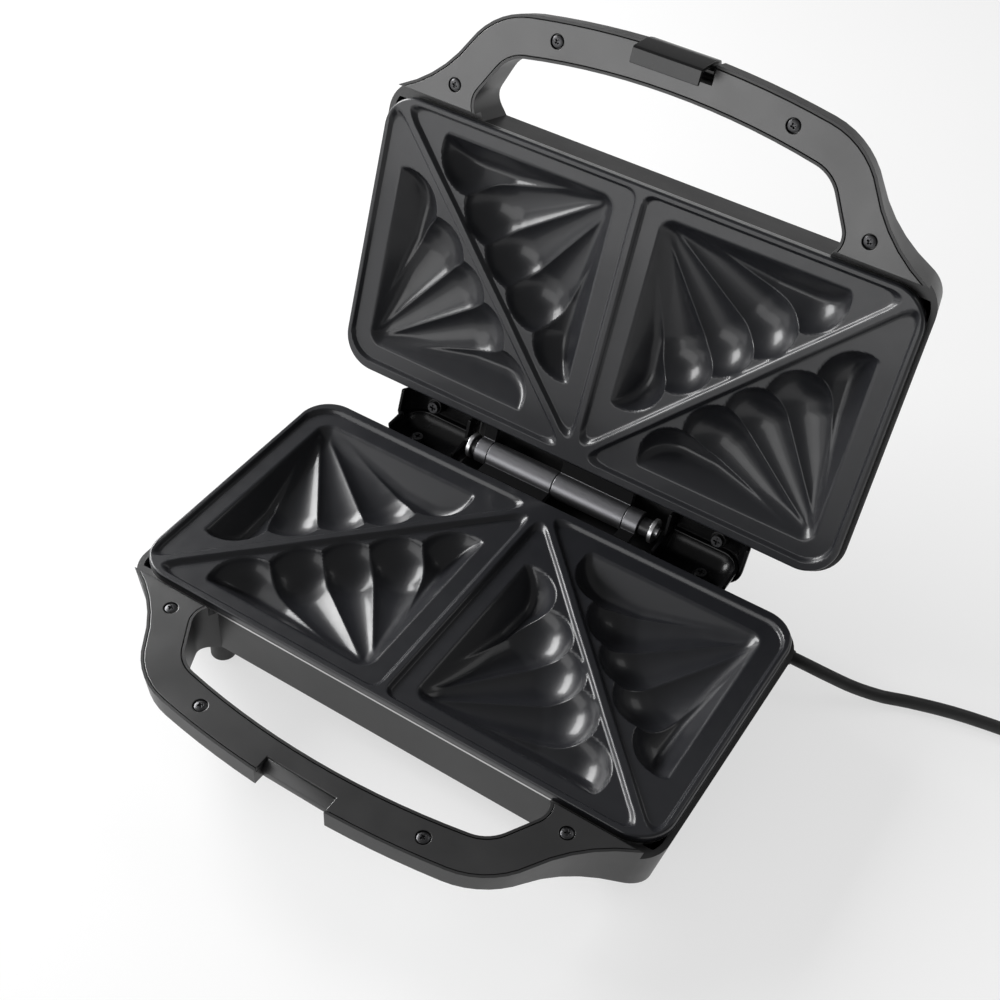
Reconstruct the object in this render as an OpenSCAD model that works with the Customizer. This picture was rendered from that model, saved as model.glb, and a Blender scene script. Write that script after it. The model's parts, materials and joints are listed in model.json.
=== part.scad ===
// Hinged sandwich toaster: two scalloped cooking plates for two slices each, a base and a lid
// with loop handles, a snap latch on the lid handle, a pinned hinge at the back and a mains cord.
// Each half is drawn below its own parting plane (z = 0, y = 0 at the front edge of the plate),
// then the base half is set on its feet and the lid half is mirrored and swung open.

/* [Plates] */
// Width of a cooking plate, side to side
plate_w = 270; // [264:1:286]
// Depth of a cooking plate, front to back
plate_d = 140; // [137:1:148]
// Corner radius of a plate
plate_r = 17; // [14:1:19]
// Width of the raised rim round a plate
rim_w = 3; // [2.5:0.1:4]
// Depth of a sandwich area below the rim
area_drop = 2; // [1.6:0.1:2.4]
// Wall thickness of the plate casting
plate_t = 3; // [2.7:0.1:3.3]
// Width of the ridges that cut a sandwich in two
ridge_w = 4.2; // [3.6:0.1:5]
// Gap between the two rims when the lid is closed
rim_gap = 0.5; // [0.3:0.1:0.8]

/* [Pockets] */
// Depth of a scallop below the sandwich area
scallop_deep = 13; // [12:0.5:13.5]
// Radius of the round end of a scallop
scallop_r = 19.6; // [18.5:0.1:20.5]
// Reach from a pocket's corner to the centres of its round ends
scallop_reach = 64.6; // [62:0.2:65.6]
// Reach of the two outermost scallops of a pocket
long_reach = 79; // [76:0.5:80]
// Angle between one scallop and the next
scallop_step = 18.6; // [18:0.1:19]
// Corner radius of a pocket
pocket_r = 5; // [4:0.5:6]

/* [Body] */
// Depth of the base housing below the parting plane
base_depth = 38; // [37:0.5:42]
// Depth of the lid housing above the parting plane
lid_depth = 36; // [35.5:0.5:40]
// Wall thickness of the housings
wall = 2.8; // [2.6:0.1:3.2]
// How far the housing stands out beyond the plate at each side
side_margin = 2; // [1.6:0.2:3]
// Drop from the parting plane to the top of the side walls
side_drop = 6; // [6:0.2:7]
// Sideways lean of the side walls for each millimetre of depth
draft = 0.19; // [0.14:0.01:0.22]
// Corner radius of the housing at the back
rear_r = 19; // [16:1:22]
// Thickness of the floor panel and the top panel
panel_t = 1.6; // [1.2:0.1:1.8]
// Height of the feet below the flat underside
foot_h = 8; // [6:0.5:10]
// Diameter of a foot
foot_d = 12; // [10:1:16]

/* [Handle] */
// Thickness of each handle half at the middle of its front edge
handle_t = 9.5; // [9:0.5:11]
// Radius of the outward bow at each end of the handle
bow_r = 38.2; // [34:0.5:42]
// Radius of the waist where the handle meets the body
waist_r = 73; // [66:1:80]
// Thickness of the handle cover plate
cover_t = 2.5; // [2.2:0.1:2.8]
// Gap between the parting plane and a handle cover
cover_drop = 0.5; // [0.4:0.1:0.8]
// Width of the housing lip round the handle cover
lip_w = 1.2; // [1:0.1:1.4]
// Seam between the handle cover and the lip
seam = 0.35; // [0.3:0.05:0.5]

/* [Hinge] */
// Distance from the back edge of a plate to the hinge axis
hinge_back = 13.3; // [13:0.1:14.4]
// Diameter of the hinge pin
pin_d = 5; // [4:0.2:5.4]
// Diameter of the hinge barrels
barrel_d = 13; // [12:0.2:13.4]
// Radial clearance of the hinge pin in its barrels
pin_fit = 0.05; // [0.03:0.01:0.08]
// Angle between the closed lid and the fully open lid
open_angle = 107.5; // [96:0.5:110]
// Radius of the hinge cover on the base
ear_r = 12; // [11.6:0.1:12.2]
// Wall thickness of the hinge covers
ear_wall = 1.7; // [1.5:0.1:1.9]

/* [Latch] */
// Width of the latch clip
latch_w = 32.4; // [26:0.2:34]
// Clearance at each side of the latch clip
latch_side = 1.3; // [0.6:0.1:1.6]
// Diameter of the latch pin
latch_pin_d = 3; // [2.6:0.1:3.2]

/* [Screws] */
// Shank diameter of the screws
screw_d = 3; // [2.6:0.1:3.2]
// Head diameter of the screws
head_d = 5.5; // [5:0.1:5.8]
// Head height of the screws
head_h = 1.8; // [1.5:0.1:2]

/* [Heating] */
// Diameter of the tubular heater
heater_d = 6.4; // [5.6:0.1:6.8]
// Sheet thickness of the reflector trays
tray_t = 0.8; // [0.6:0.1:1]
// Diameter of an indicator lens
lens_d = 8; // [6:0.5:10]

/* [Cord] */
// Diameter of the mains cord
cord_d = 6.2; // [5.6:0.1:6.4]
// Mean diameter of the coiled spare cord
coil_d = 68; // [62:1:74]

/* [Hidden] */
fine = 64;
slack = 0.05;
big = 400;

// Overall places
half_w = plate_w / 2 + side_margin;
back_y = plate_d + 2;
hinge_y = plate_d + hinge_back;
mate_z = base_depth + foot_h;
rim_top = -rim_gap / 2;
area_z = -area_drop;
skirt_z = area_z - plate_t;
wall_top = -side_drop;

// Plate layout: pocket corners measured from the spine, the front edge and the outer edges
spine_margin = 11.5;
front_margin = 10;
outer_margin = 12.5;
rear_margin = 13.5;
spine_w = 4;
apex_in = [5.5, 3.5];
apex_drop = 2.6;
half_plate = [plate_w / 2, plate_d];
apex = [spine_margin, front_margin] - apex_in;
far_corner = half_plate - [outer_margin, rear_margin] + [spine_margin, front_margin];
tilt = atan2(scallop_r - scallop_deep + apex_drop, scallop_reach);
axis_len = scallop_reach / cos(tilt);
cone_half = asin(scallop_r / axis_len);
scallops = 5;
boss_z = area_z - scallop_deep - plate_t;
axis_rise = scallop_r - scallop_deep + apex_drop;

// The crease between two scallops: a straight line from the apex, then an arc
half_step = scallop_step / 2;
cone_k = pow(tan(cone_half), 2);
crease_a = pow(cos(tilt), 2) - cone_k * pow(sin(tilt), 2);
crease_b = -cos(half_step) * sin(2 * tilt) * (1 + cone_k);
crease_c = pow(cos(half_step) * sin(tilt), 2) + pow(sin(half_step), 2)
  - cone_k * pow(cos(half_step) * cos(tilt), 2);
crease_dip = atan((crease_b + sqrt(crease_b * crease_b - 4 * crease_a * crease_c)) / 2 / crease_a);
crease_mid = scallop_reach * cos(half_step);
crease_r = sqrt(pow(scallop_r, 2) - pow(scallop_reach * sin(half_step), 2));
crease_len = sqrt(crease_mid * crease_mid + axis_rise * axis_rise - crease_r * crease_r);
blunt = 0.1;

// Handle outline: arcs walked from the middle of the front edge to the body's side wall
front_turn = 9.55;
bow_turn = 51.6;
waist_turn = 34.15;
corner_r = 16;
corner_y = 9.9;
lean = atan(draft);
half_top = half_w + draft * (side_drop - cover_drop);
corner_h = front_turn + bow_turn - waist_turn;
front_r = (half_top - bow_r * (sin(front_turn + bow_turn) - sin(front_turn))
  - waist_r * (sin(front_turn + bow_turn) - sin(corner_h)) - corner_r * (1 - sin(corner_h)))
  / sin(front_turn);
front_y = corner_y - front_r * (1 - cos(front_turn))
  - bow_r * (cos(front_turn) - cos(front_turn + bow_turn))
  - waist_r * (cos(corner_h) - cos(front_turn + bow_turn)) - corner_r * cos(corner_h);
body_legs = [[front_r, front_turn], [bow_r, bow_turn], [waist_r, -waist_turn],
  [corner_r, 90 - corner_h], [back_y - rear_r - corner_y, 0], [rear_r, 90]];

// Finger opening outline, walked the same way
grip_turn = 10.9;
grip_bow = [18.75, 49.1];
grip_side = 14.4;
grip_corner = [11.3, 59];
grip_x = half_w - 46.6;
grip_y = -3.1;
grip_h = grip_turn + grip_bow[1];
grip_front_r = (grip_x - grip_bow[0] * (sin(grip_h) - sin(grip_turn)) - grip_side * cos(grip_h)
  - grip_corner[0] * (sin(grip_h + grip_corner[1]) - sin(grip_h))) / sin(grip_turn);
grip_start = grip_y - grip_front_r * (1 - cos(grip_turn)) - grip_bow[0] * (cos(grip_turn)
  - cos(grip_h)) - grip_side * sin(grip_h) - grip_corner[0] * (cos(grip_h) - cos(grip_h
  + grip_corner[1]));
grip_legs = [[grip_front_r, grip_turn], grip_bow, [grip_side, 0], grip_corner, [8, 0]];
opening_in = seam + lip_w;
front_wall = 0.5;
cover_y = -3.2;
cover_z = -cover_drop - cover_t;

// Side profile of a housing
blend_start = front_y - 0.6;
blend_end = 16;
rear_round = 7;

// Middle of the open toaster, front to back: from the latch recess to the back of the lid
latch_front = front_y + front_r - sqrt(front_r * front_r - pow(latch_w / 2 + latch_side, 2));
lid_rear = hinge_y + (blend_end - hinge_y) * cos(open_angle) + lid_depth * sin(open_angle);
centre_y = (latch_front + lid_rear) / 2;

// Screw places
handle_screws = [[half_w - 35.2, -12.4], [56.3, -46.1]];
plate_screws = [[plate_w / 2 - 13, 30], [12, plate_d - 25.5]];
hinge_screw = [80, hinge_y - 6.6];
head_seat = 1.2;

// Latch
recess_x = latch_w / 2 + latch_side;
recess_y = -50.5;
latch_pivot = [-55.5, -6];
ledge_z = -8.7;
notch_d = 4.5;

// Hinge
ear_in = 55.5;
ear_end = 83;
trough_x = ear_in - 0.4;
base_rear = -3;
lid_tail = 20;
lid_ear_r = ear_r + 0.5 + ear_wall;
base_barrel = [-40, -3.2];
lid_barrel = [-2.8, 36];
base_knuckle = [36.3, 44];
lid_knuckle = [-47, -40.3];
bush_len = 2.4;
washer_x = 50;
washer_t = 2;
washer_d = 12.4;
bush_d = 9;
web = [wall_top + 1.4, -0.8];

// Heating
tray_in = [8, 5];
tray_z = skirt_z - (heater_d + scallop_deep + 1.6);
flange_t = side_drop + skirt_z;
heater_z = boss_z - 0.2 - heater_d / 2;
heater_y = [35, plate_d - 38.3];
heater_x = 62;
heater_gap = 9;
panel_base = [84, 24, 104];
floor_screw = [panel_base[0] - 4, 64];
panel_lid = [plate_w / 2 - 10, blend_end + 3, plate_d - 9];
lens_at = [[-14, 34], [14, 34]];
lamp_d = 5;
post_d = 8;

// Cord route: x, y and height over the table
cord_h = 0.4 * cord_d;
passage_at = [94, rear_round + 2.2 - base_depth];
passage_d = 4;
relief_len = 22;
relief_at = [110, 148, 14];
cord_route = [[132, 148, 14], [139, 148, 14], [150, 150, 11.6], [162, 154.6, 6.8],
  [175, 160.4, 3.2], [190, 166, cord_h], [212, 172, cord_h], [250, 178.5, cord_h], [280, 184, cord_h],
  [288, 185.4, cord_h]];
cord_heading = 9.9;
cord_sides = 10;
loop_sides = 6;
loop_rings = 24;
coil_pitch = cord_d + 0.6;
turns_in = 1.75;
coil_lean = atan(coil_pitch / (PI * coil_d));
coil_start = cord_heading - 90 - coil_lean;
turns_out = ceil(turns_in) + 1 - coil_start / 360 - turns_in;
coil_in = coil_d / 2 - coil_pitch * turns_in / 2;
lead = cord_d;
tie_angle = 150;
tie_t = 0.8;
tie_w = 8;
tie_lift = tie_t + 0.3 + cord_d / 2 - cord_h;
tail_flat = 26;
tail_drop = 40;
plug_h = 8.5;
plug_d = 38.5;
plug_t = 17;
sleeve_len = 16;

// Outlines
function unit(v) = v / norm(v);
function fillet(p, a, b, r, n) =
  let (u = unit(a - p), v = unit(b - p), half = acos(u * v) / 2,
    c = p + unit(u + v) * (r / sin(half)), s = p + u * (r / tan(half)) - c,
    e = p + v * (r / tan(half)) - c, a0 = atan2(s[1], s[0]), d0 = atan2(e[1], e[0]) - a0,
    da = d0 > 180 ? d0 - 360 : d0 < -180 ? d0 + 360 : d0)
  [for (i = [0:n]) c + r * [cos(a0 + da * i / n), sin(a0 + da * i / n)]];
function rounded(pts, r, n = 6) = [for (i = [0:len(pts) - 1])
  each fillet(pts[i], pts[(i + len(pts) - 1) % len(pts)], pts[(i + 1) % len(pts)], r[i], n)];
function box(x0, y0, x1, y1) = [[x0, y0], [x1, y0], [x1, y1], [x0, y1]];
function round_box(x0, y0, x1, y1, r) = rounded(box(x0, y0, x1, y1), [r, r, r, r]);
function leg_end(s, leg) = leg[1] == 0
  ? [s[0] + leg[0] * cos(s[2]), s[1] + leg[0] * sin(s[2]), s[2]]
  : let (h = s[2] + leg[1], k = sign(leg[1]))
    [s[0] + k * leg[0] * (sin(h) - sin(s[2])), s[1] - k * leg[0] * (cos(h) - cos(s[2])), h];
function part_leg(leg, f) = leg[1] == 0 || f == 0 ? [f * leg[0], 0] : [leg[0], leg[1] * f];
function walk(s, legs, inset, i = 0) = i >= len(legs) ? [] :
  let (leg = legs[i], n = leg[1] == 0 ? 1 : max(2, ceil(abs(leg[1]) / 8), ceil(leg[0] * abs(leg[1]) / 600)))
  concat([for (j = [i == 0 ? 0 : 1:n]) let (p = leg_end(s, part_leg(leg, j / n)))
    [p[0] - inset * sin(p[2]), p[1] + inset * cos(p[2])]],
    walk(leg_end(s, leg), legs, inset, i + 1));
function both(pts) = concat(pts, [for (i = [len(pts) - 1:-1:0]) if (pts[i][0] > 0.01)
  [-pts[i][0], pts[i][1]]]);
function right_pts(inset) = walk([0, front_y, 0], body_legs, inset);
function body_pts(inset) = both(right_pts(inset));
function grip_pts(inset) = both(walk([0, grip_start, 0], grip_legs, inset));
function blend(t) = t <= 0 ? 0 : t >= 1 ? 1 : t * t * (1.5 - 0.5 * t);
function under(y, depth) = -handle_t - (depth - handle_t)
  * blend((y - blend_start) / (blend_end - blend_start));
function side_pts(depth, t) = concat([[-big / 4, 5], [-big / 4, t - handle_t]],
  [for (i = [0:12]) let (y = blend_start + (blend_end - blend_start) * i / 12)
    [y, under(y, depth) + t]],
  fillet([back_y - t, t - depth], [0, t - depth], [back_y - t, 0], rear_round, 4),
  [[back_y - t, 5]]);
function section_pts(depth, t) = let (w = half_top - t + 0.03,
  low = w - draft * (depth - t - cover_drop)) both(concat([[0, t - depth]],
    fillet([low, t - depth], [0, t - depth], [w, -cover_drop], 5, 5), [[w + 5, -side_drop], [w + 5, 5]]));

// Solids shared by both halves
// The outline as a prism that leans inwards with depth, at one side
module leaning(t, top) translate([half_top, 0, -cover_drop]) rotate([0, lean, 0])
  translate([0, 0, -big / 4]) linear_extrude(big / 4 + (top + cover_drop) / cos(lean))
  scale([cos(lean), 1]) translate([-half_top, 0]) polygon(concat([[-big, front_y + t]],
    right_pts(t), [[-big, back_y - t]]));
module body_block(depth, t, top = -cover_drop) intersection() {
  leaning(t, top + 2);
  mirror([1, 0, 0]) leaning(t, top + 2);
  translate([-big / 2, -big / 2, -big / 4]) cube([big, big, big / 4 + top]);
  translate([-big / 2, 0, 0]) rotate([90, 0, 90]) linear_extrude(big) polygon(side_pts(depth, t));
  translate([0, big, 0]) rotate([90, 0, 0]) linear_extrude(2 * big) polygon(section_pts(depth, t));
}
module both_sides() for (m = [0, 1]) mirror([m, 0, 0]) children();
module at(p, z) translate([p[0], p[1], z]) children();
module rod(p, h, d, z) at(p, z) cylinder(h = h, d = d, $fn = fine);
module along_x(x0, x1, d, y, z) translate([x0, y, z]) rotate([0, 90, 0])
  cylinder(h = x1 - x0, d = d, $fn = fine);
module slab(z0, z1) translate([0, 0, z0]) linear_extrude(z1 - z0) children();
module screw(p, z, len) {
  difference() {
    rod(p, head_h, head_d, z - head_h);
    at(p, z - head_h / 4) for (a = [0, 90]) rotate([0, 0, a])
      cube([head_d * 0.62, head_d * 0.16, head_h], center = true);
  }
  rod(p, len, screw_d, z - head_h - len);
}

// Cooking plates
module open_wedge(i) let (a = 45 + (i - (scallops - 1) / 2) * scallop_step,
  first = i == 0 ? 30 : 0, last = i == scallops - 1 ? 30 : 0) slab(-big / 8, big / 8)
  polygon(big / 4 * [[0, 0], [cos(a - scallop_step / 2 - first), sin(a - scallop_step / 2 - first)],
    1.4 * [cos(a), sin(a)], [cos(a + scallop_step / 2 + last), sin(a + scallop_step / 2 + last)]]);
module scallop(i) {
  start = 3;
  reach = axis_len * pow(cos(cone_half), 2);
  rotate([0, 0, 45 + (i - (scallops - 1) / 2) * scallop_step]) rotate([0, 90 - tilt, 0]) {
    translate([0, 0, axis_len]) sphere(r = scallop_r, $fn = 96);
    translate([0, 0, start]) cylinder(h = reach - start, r1 = start * tan(cone_half),
      r2 = reach * tan(cone_half), $fn = 96);
  }
}
// The outermost scallops run on level to a second round end
module long_end(i) rotate([0, 0, 45 + (i - (scallops - 1) / 2) * scallop_step]) {
  translate([scallop_reach, 0, axis_rise]) rotate([0, 90, 0])
    cylinder(h = long_reach - scallop_reach, r = scallop_r - 0.15, $fn = 96);
  translate([long_reach, 0, axis_rise]) sphere(r = scallop_r, $fn = 96);
}
module pocket_legs(grow, z0, z1) slab(z0, z1) polygon(rounded(
  box(spine_margin - grow, front_margin - grow, big / 3, big / 3), [pocket_r + grow, 1, 1, 1], 5));
// Takes the sharp tip off the crease between two scallops
module blunted_crease(i) rotate([0, 0, 45 + (i - (scallops - 2) / 2) * scallop_step]) {
  rotate([0, crease_dip, 0]) translate([2, -0.5, -blunt]) cube([crease_len - 2, 1, big / 8]);
  translate([crease_mid, -0.5, axis_rise]) rotate([-90, 0, 0])
    cylinder(h = 1, r = crease_r + 1.4 * blunt, $fn = 96);
}
module pocket() {
  for (i = [0:scallops - 1]) intersection() {
    at(apex, area_z - apex_drop) scallop(i);
    at(apex, area_z) open_wedge(i);
    pocket_legs(0, -big / 8, 1);
  }
  for (i = [0, scallops - 1]) intersection() {
    at(apex, area_z - apex_drop) long_end(i);
    pocket_legs(0, -big / 8, 1);
  }
  for (i = [0:scallops - 2]) intersection() {
    at(apex, area_z - apex_drop) blunted_crease(i);
    pocket_legs(0, -big / 8, 1);
  }
}
// The back of a pocket: a flat cone under the scallops, cut off square at its deepest
module pocket_back() {
  fall = tan(cone_half - tilt);
  difference() {
    intersection() {
      pocket_legs(plate_t, boss_z, skirt_z + 0.5);
      rod(apex, big / 8, 2 * (long_reach + scallop_r + 1.6), -big / 8);
    }
    at(apex, boss_z - big / 8 - plate_t) cylinder(h = area_z - apex_drop - boss_z + big / 8 - 0.3,
      r1 = (area_z - apex_drop - boss_z + big / 8 - 0.3) / fall, r2 = 0, $fn = fine);
  }
}
module four_pockets() both_sides() {
  children();
  translate([far_corner[0], far_corner[1], 0]) rotate([0, 0, 180]) children();
}
module areas() both_sides() slab(area_z, 1) {
  x0 = spine_w / 2;
  x1 = plate_w / 2 - rim_w;
  y1 = plate_d - rim_w;
  cut = ridge_w / 2 * norm([x1, y1]) / y1;
  rise = y1 / x1;
  polygon(rounded([[x0, rim_w], [x1 - cut - rim_w / rise, rim_w], [x0, y1 - (x0 + cut) * rise]],
    [3.5, 2.5, 3]));
  polygon(rounded([[x1, cut * rise], [x1, y1], [cut, y1]], [2.5, plate_r - rim_w, 2.5]));
}
module plate_posts() both_sides() for (p = plate_screws) rod(p, skirt_z - tray_z, post_d, tray_z);
module barrel(span) {
  along_x(span[0], span[1], barrel_d, hinge_y, 0);
  translate([span[0], plate_d - 3, web[0]]) cube([span[1] - span[0], hinge_back + 3,
    web[1] - web[0]]);
}
module cooking_plate(spans) difference() {
  union() {
    slab(skirt_z, rim_top) polygon(round_box(-half_plate[0], 0, half_plate[0], plate_d, plate_r));
    four_pockets() pocket_back();
    plate_posts();
    for (s = spans) barrel(s);
  }
  areas();
  four_pockets() pocket();
  both_sides() for (p = plate_screws) rod(p, 12, screw_d + 2 * slack, tray_z - 1);
  for (s = spans) along_x(s[0] - 1, s[1] + 1, pin_d + 2 * pin_fit, hinge_y, 0);
}

// Reflector tray and heater
function tray_pts(t) = round_box(tray_in[0] + t - half_plate[0], tray_in[1] + t,
  half_plate[0] - tray_in[0] - t, plate_d - tray_in[1] - t, plate_r - tray_in[0] - t);
module reflector(inset = 0.2) difference() {
  slab(tray_z - tray_t, skirt_z) polygon(round_box(inset - half_plate[0], inset,
    half_plate[0] - inset, plate_d - inset, plate_r - inset));
  slab(tray_z, skirt_z + 1) polygon(tray_pts(tray_t));
  slab(tray_z - tray_t - 1, skirt_z - flange_t) difference() {
    square(3 * big, center = true);
    polygon(tray_pts(0));
  }
  both_sides() for (p = plate_screws) rod(p, 3, screw_d + 0.4, tray_z - 2);
  translate([-heater_gap - 8, heater_y[1] - 6, tray_z - 2])
    cube([2 * heater_gap + 16, 12, 4]);
}
module heater() {
  r = (heater_y[1] - heater_y[0]) / 2;
  along_x(-heater_x, heater_x, heater_d, heater_y[0], heater_z);
  both_sides() {
    translate([heater_x, heater_y[0] + r, heater_z]) rotate([0, 0, -90])
      rotate_extrude(angle = 180, $fn = fine) translate([r, 0]) circle(d = heater_d, $fn = 32);
    along_x(heater_gap, heater_x, heater_d, heater_y[1], heater_z);
    along_x(heater_gap - 3, heater_gap, heater_d / 2, heater_y[1], heater_z);
  }
}

// Housings
module panel_hole(box_at, depth, ease, z0, z1) slab(z0, z1)
  polygon(round_box(-box_at[0] - ease, box_at[1] - ease, box_at[0] + ease, box_at[2] + ease, 8));
module recess_cut(z0) translate([-recess_x, -big / 4, z0])
  cube([2 * recess_x, big / 4 + recess_y, big / 4]);
module opening_cut() intersection() {
  slab(-big / 4, 5) polygon(grip_pts(opening_in));
  translate([-big / 2, front_wall - big, -big / 4]) cube([big, big, big / 2]);
}
module housing_inside(depth) intersection() {
  body_block(depth, wall / 2);
  union() {
    slab(-big / 4, 5) difference() {
      polygon(grip_pts(opening_in - wall));
      polygon(grip_pts(opening_in));
    }
    translate([-half_w, front_wall, -big / 4]) cube([2 * half_w, wall, big / 4 + wall_top]);
    both_sides() {
      translate([grip_x - 2, cover_y - 2, wall_top - 3]) cube([half_w - grip_x, 2 - cover_y
        + front_wall + wall, 3]);
      translate([grip_x - 2, cover_y - 2.2, wall_top - 1]) cube([half_w - grip_x, 2,
        cover_z - wall_top + 1]);
      for (p = handle_screws) rod(p, cover_z + big / 4, post_d - 0.6, -big / 4);
      for (p = plate_screws) rod(p, tray_z - tray_t + big / 4, post_d + 1, -big / 4);
    }
    translate([-recess_x - 3, front_y - 5, -big / 4]) cube([2 * recess_x + 6, recess_y - front_y
      + 5 + 2.4, big / 4 + cover_z]);
  }
}
module hinge_bracket(r) translate([hinge_screw[0] - 6, back_y - 1, -r - 4])
  cube([12, hinge_screw[1] + 4.2 - back_y + 1, 4]);
// Trough behind the housing, between the hinge covers, that closes the gap round the barrels
module hinge_trough(r, rear_z, tail) difference() {
  union() {
    along_x(-trough_x, trough_x, 2 * r, hinge_y, 0);
    translate([-trough_x, back_y - 1, -r]) cube([2 * trough_x, hinge_y - back_y + 1, r]);
  }
  along_x(-ear_in, ear_in, 2 * (r - ear_wall), hinge_y, 0);
  translate([-ear_in, back_y - big, ear_wall - r]) cube([2 * ear_in, hinge_y - back_y + big, big]);
  translate([-ear_in, back_y - 1 - big, -big / 2]) cube([2 * ear_in, big, big]);
  translate([-ear_in, hinge_y - 1, rear_z]) cube([2 * ear_in, big, big]);
  translate([-ear_in, hinge_y, 0]) rotate([-tail, 0, 0]) cube([2 * ear_in, big, big]);
}
module housing(depth, panel_box, r, open, rear_z, tail) difference() {
  union() {
    difference() {
      body_block(depth, 0);
      body_block(depth, wall, 4);
    }
    housing_inside(depth);
    both_sides() hinge_bracket(r);
    hinge_trough(r, rear_z, tail);
  }
  opening_cut();
  translate([-big / 2, cover_y, wall_top]) cube([big, big, big]);
  slab(cover_z, 1) difference() {
    polygon(body_pts(lip_w));
    polygon(grip_pts(seam));
    translate([-big, cover_y - 1]) square([2 * big, 2 * big]);
  }
  slab(cover_z, wall_top + big / 8) difference() {
    polygon(body_pts(lip_w));
    polygon(grip_pts(seam));
    translate([-big, cover_y]) square([2 * big, 2 * big]);
  }
  recess_cut(-big / 8);
  translate([-recess_x, recess_y - 1, -big / 8]) cube([2 * recess_x, notch_d + 1,
    big / 8 + ledge_z]);
  panel_hole(panel_box, depth, 0.2, -depth - 1, panel_t - depth);
  if (open) panel_hole(panel_box, depth, -8, -depth - 1, wall + 1 - depth);
  both_sides() {
    for (p = handle_screws) rod(p, 9, screw_d + 2 * slack, cover_z - 6.5);
    for (p = plate_screws) {
      rod(p, big / 8, screw_d + 0.4, tray_z - big / 8 + 1);
      rod(p, big / 8, head_d + 1, -depth + 5 - big / 8);
    }
    rod(hinge_screw, 6, screw_d + 2 * slack, -r - 5);
    translate([ear_in + 8, back_y - wall - 1, -r + 3]) cube([8, wall + 3, 4]);
  }
}
module floor_panel(panel_box, depth) panel_hole(panel_box, depth, 0, -depth, panel_t - depth);
module handle_cover() difference() {
  slab(cover_z, -cover_drop) difference() {
    polygon(body_pts(lip_w + seam));
    polygon(grip_pts(0));
    translate([-big, cover_y]) square([2 * big, 2 * big]);
  }
  recess_cut(cover_z - 1);
  both_sides() for (p = handle_screws) {
    rod(p, cover_t + 2, screw_d + 0.4, cover_z - 1);
    rod(p, cover_t, head_d + 1, cover_z + head_seat - 0.3);
  }
}
module handle_screw_set() both_sides() for (p = handle_screws)
  screw(p, cover_z + head_seat - 0.3 + head_h, 5);
module plate_screw_set(depth) both_sides() for (p = plate_screws) mirror([0, 0, 1])
  screw(p, depth - 5 + head_h, depth - 5 + tray_z + 8);

// Hinge covers: a drum quarter at the back and a square shoulder against the housing
module ear_form(r, x0) {
  along_x(x0, ear_end, 2 * r, hinge_y, 0);
  translate([ear_end, hinge_y, 0]) sphere(r = r, $fn = fine);
  translate([ear_end, hinge_y, 0]) rotate([90, 0, 0]) cylinder(h = hinge_y - back_y, r = r,
    $fn = fine);
  translate([x0, back_y, -r]) cube([ear_end - x0, hinge_y - back_y, 2 * r]);
}
module ear_boss(r) rod(hinge_screw, r - 6.3, post_d, -r);
module hinge_cover(r, x0, rear_z, tail) difference() {
  union() {
    difference() {
      ear_form(r, x0);
      ear_form(r - ear_wall, x0 + ear_wall);
      translate([0, back_y - big, -big / 2]) cube([big, big, big]);
    }
    intersection() {
      ear_boss(r);
      ear_form(r - ear_wall / 2, x0);
    }
  }
  translate([0, 0, -0.4]) cube([big, big, big]);
  translate([0, hinge_y + 0.6, rear_z]) cube([big, big, big]);
  translate([0, hinge_y, 0]) rotate([-tail, 0, 0]) cube([big, big, big]);
  if (tail > 0) intersection() {
    along_x(x0 - 1, ear_end, 2 * (r - ear_wall), hinge_y, 0);
    translate([0, hinge_y - 1.2, -big / 2]) cube([big, big, big]);
  }
  rod(hinge_screw, 3 * r, screw_d + 0.4, -2 * r);
}
module hinge_screw_set(r) both_sides() screw(hinge_screw, -6.3 + head_h, r - 6.3 + 3.4);

// Latch clip, drawn on the lid half: its lip reaches across the parting plane
module latch() difference() {
  union() {
    translate([-latch_w / 2, 0, 0]) rotate([90, 0, 90]) linear_extrude(latch_w)
      polygon([[-56.6, -9.3], [-58.6, -9.1], [-59.8, -8], [-60.4, -4], [-60.3, 0], [-59.6, 4],
        [-58.9, 8], [-58.3, 10.9], [-57.6, 11.6], [-51, 11.6], [-51, 10.1], [-52.2, 10],
        [-55.8, 10], [-56.6, 9.2], [-57.2, 6], [-57.8, 1], [-57.6, -3]]);
    along_x(-latch_w / 2, latch_w / 2, 2 * latch_pin_d, latch_pivot[0], latch_pivot[1]);
  }
  along_x(-latch_w, latch_w, latch_pin_d + 2 * slack, latch_pivot[0], latch_pivot[1]);
}

// Round wire through a list of points
module wire(pts, d) for (i = [0:len(pts) - 1]) {
  translate(pts[i]) sphere(d = 1.05 * d, $fn = 24);
  if (i < len(pts) - 1) let (v = pts[i + 1] - pts[i]) translate(pts[i])
    rotate([0, acos(v[2] / norm(v)), atan2(v[1], v[0])]) cylinder(h = norm(v), d = d, $fn = 24);
}

// Swept cord
function spline(p0, p1, p2, p3, t) = 0.5 * (2 * p1 + (p2 - p0) * t
  + (2 * p0 - 5 * p1 + 4 * p2 - p3) * t * t + (3 * p1 - p0 - 3 * p2 + p3) * t * t * t);
function smooth(pts, n) = [for (i = [0:len(pts) - 2]) let (a = pts[max(0, i - 1)], b = pts[i],
  c = pts[i + 1], d = pts[min(len(pts) - 1, i + 2)], m = i == 0 || i == len(pts) - 2 ? 1 : n)
  each [for (j = [0:m - 1]) m == 1 ? b : spline(a, b, c, d, j / m)]];
function path_dir(pts, i) = unit(pts[min(len(pts) - 1, i + 1)] - pts[max(0, i - 1)]);
function ring(p, dir, r, sides) = let (across = unit(cross(dir, [0, 0, 1])), up = cross(across, dir))
  [for (k = [0:sides - 1]) let (a = 360 * (k + 0.5) / sides,
    q = p + r * (cos(a) * across + sin(a) * up)) [q[0], q[1], max(0, q[2])]];
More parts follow.
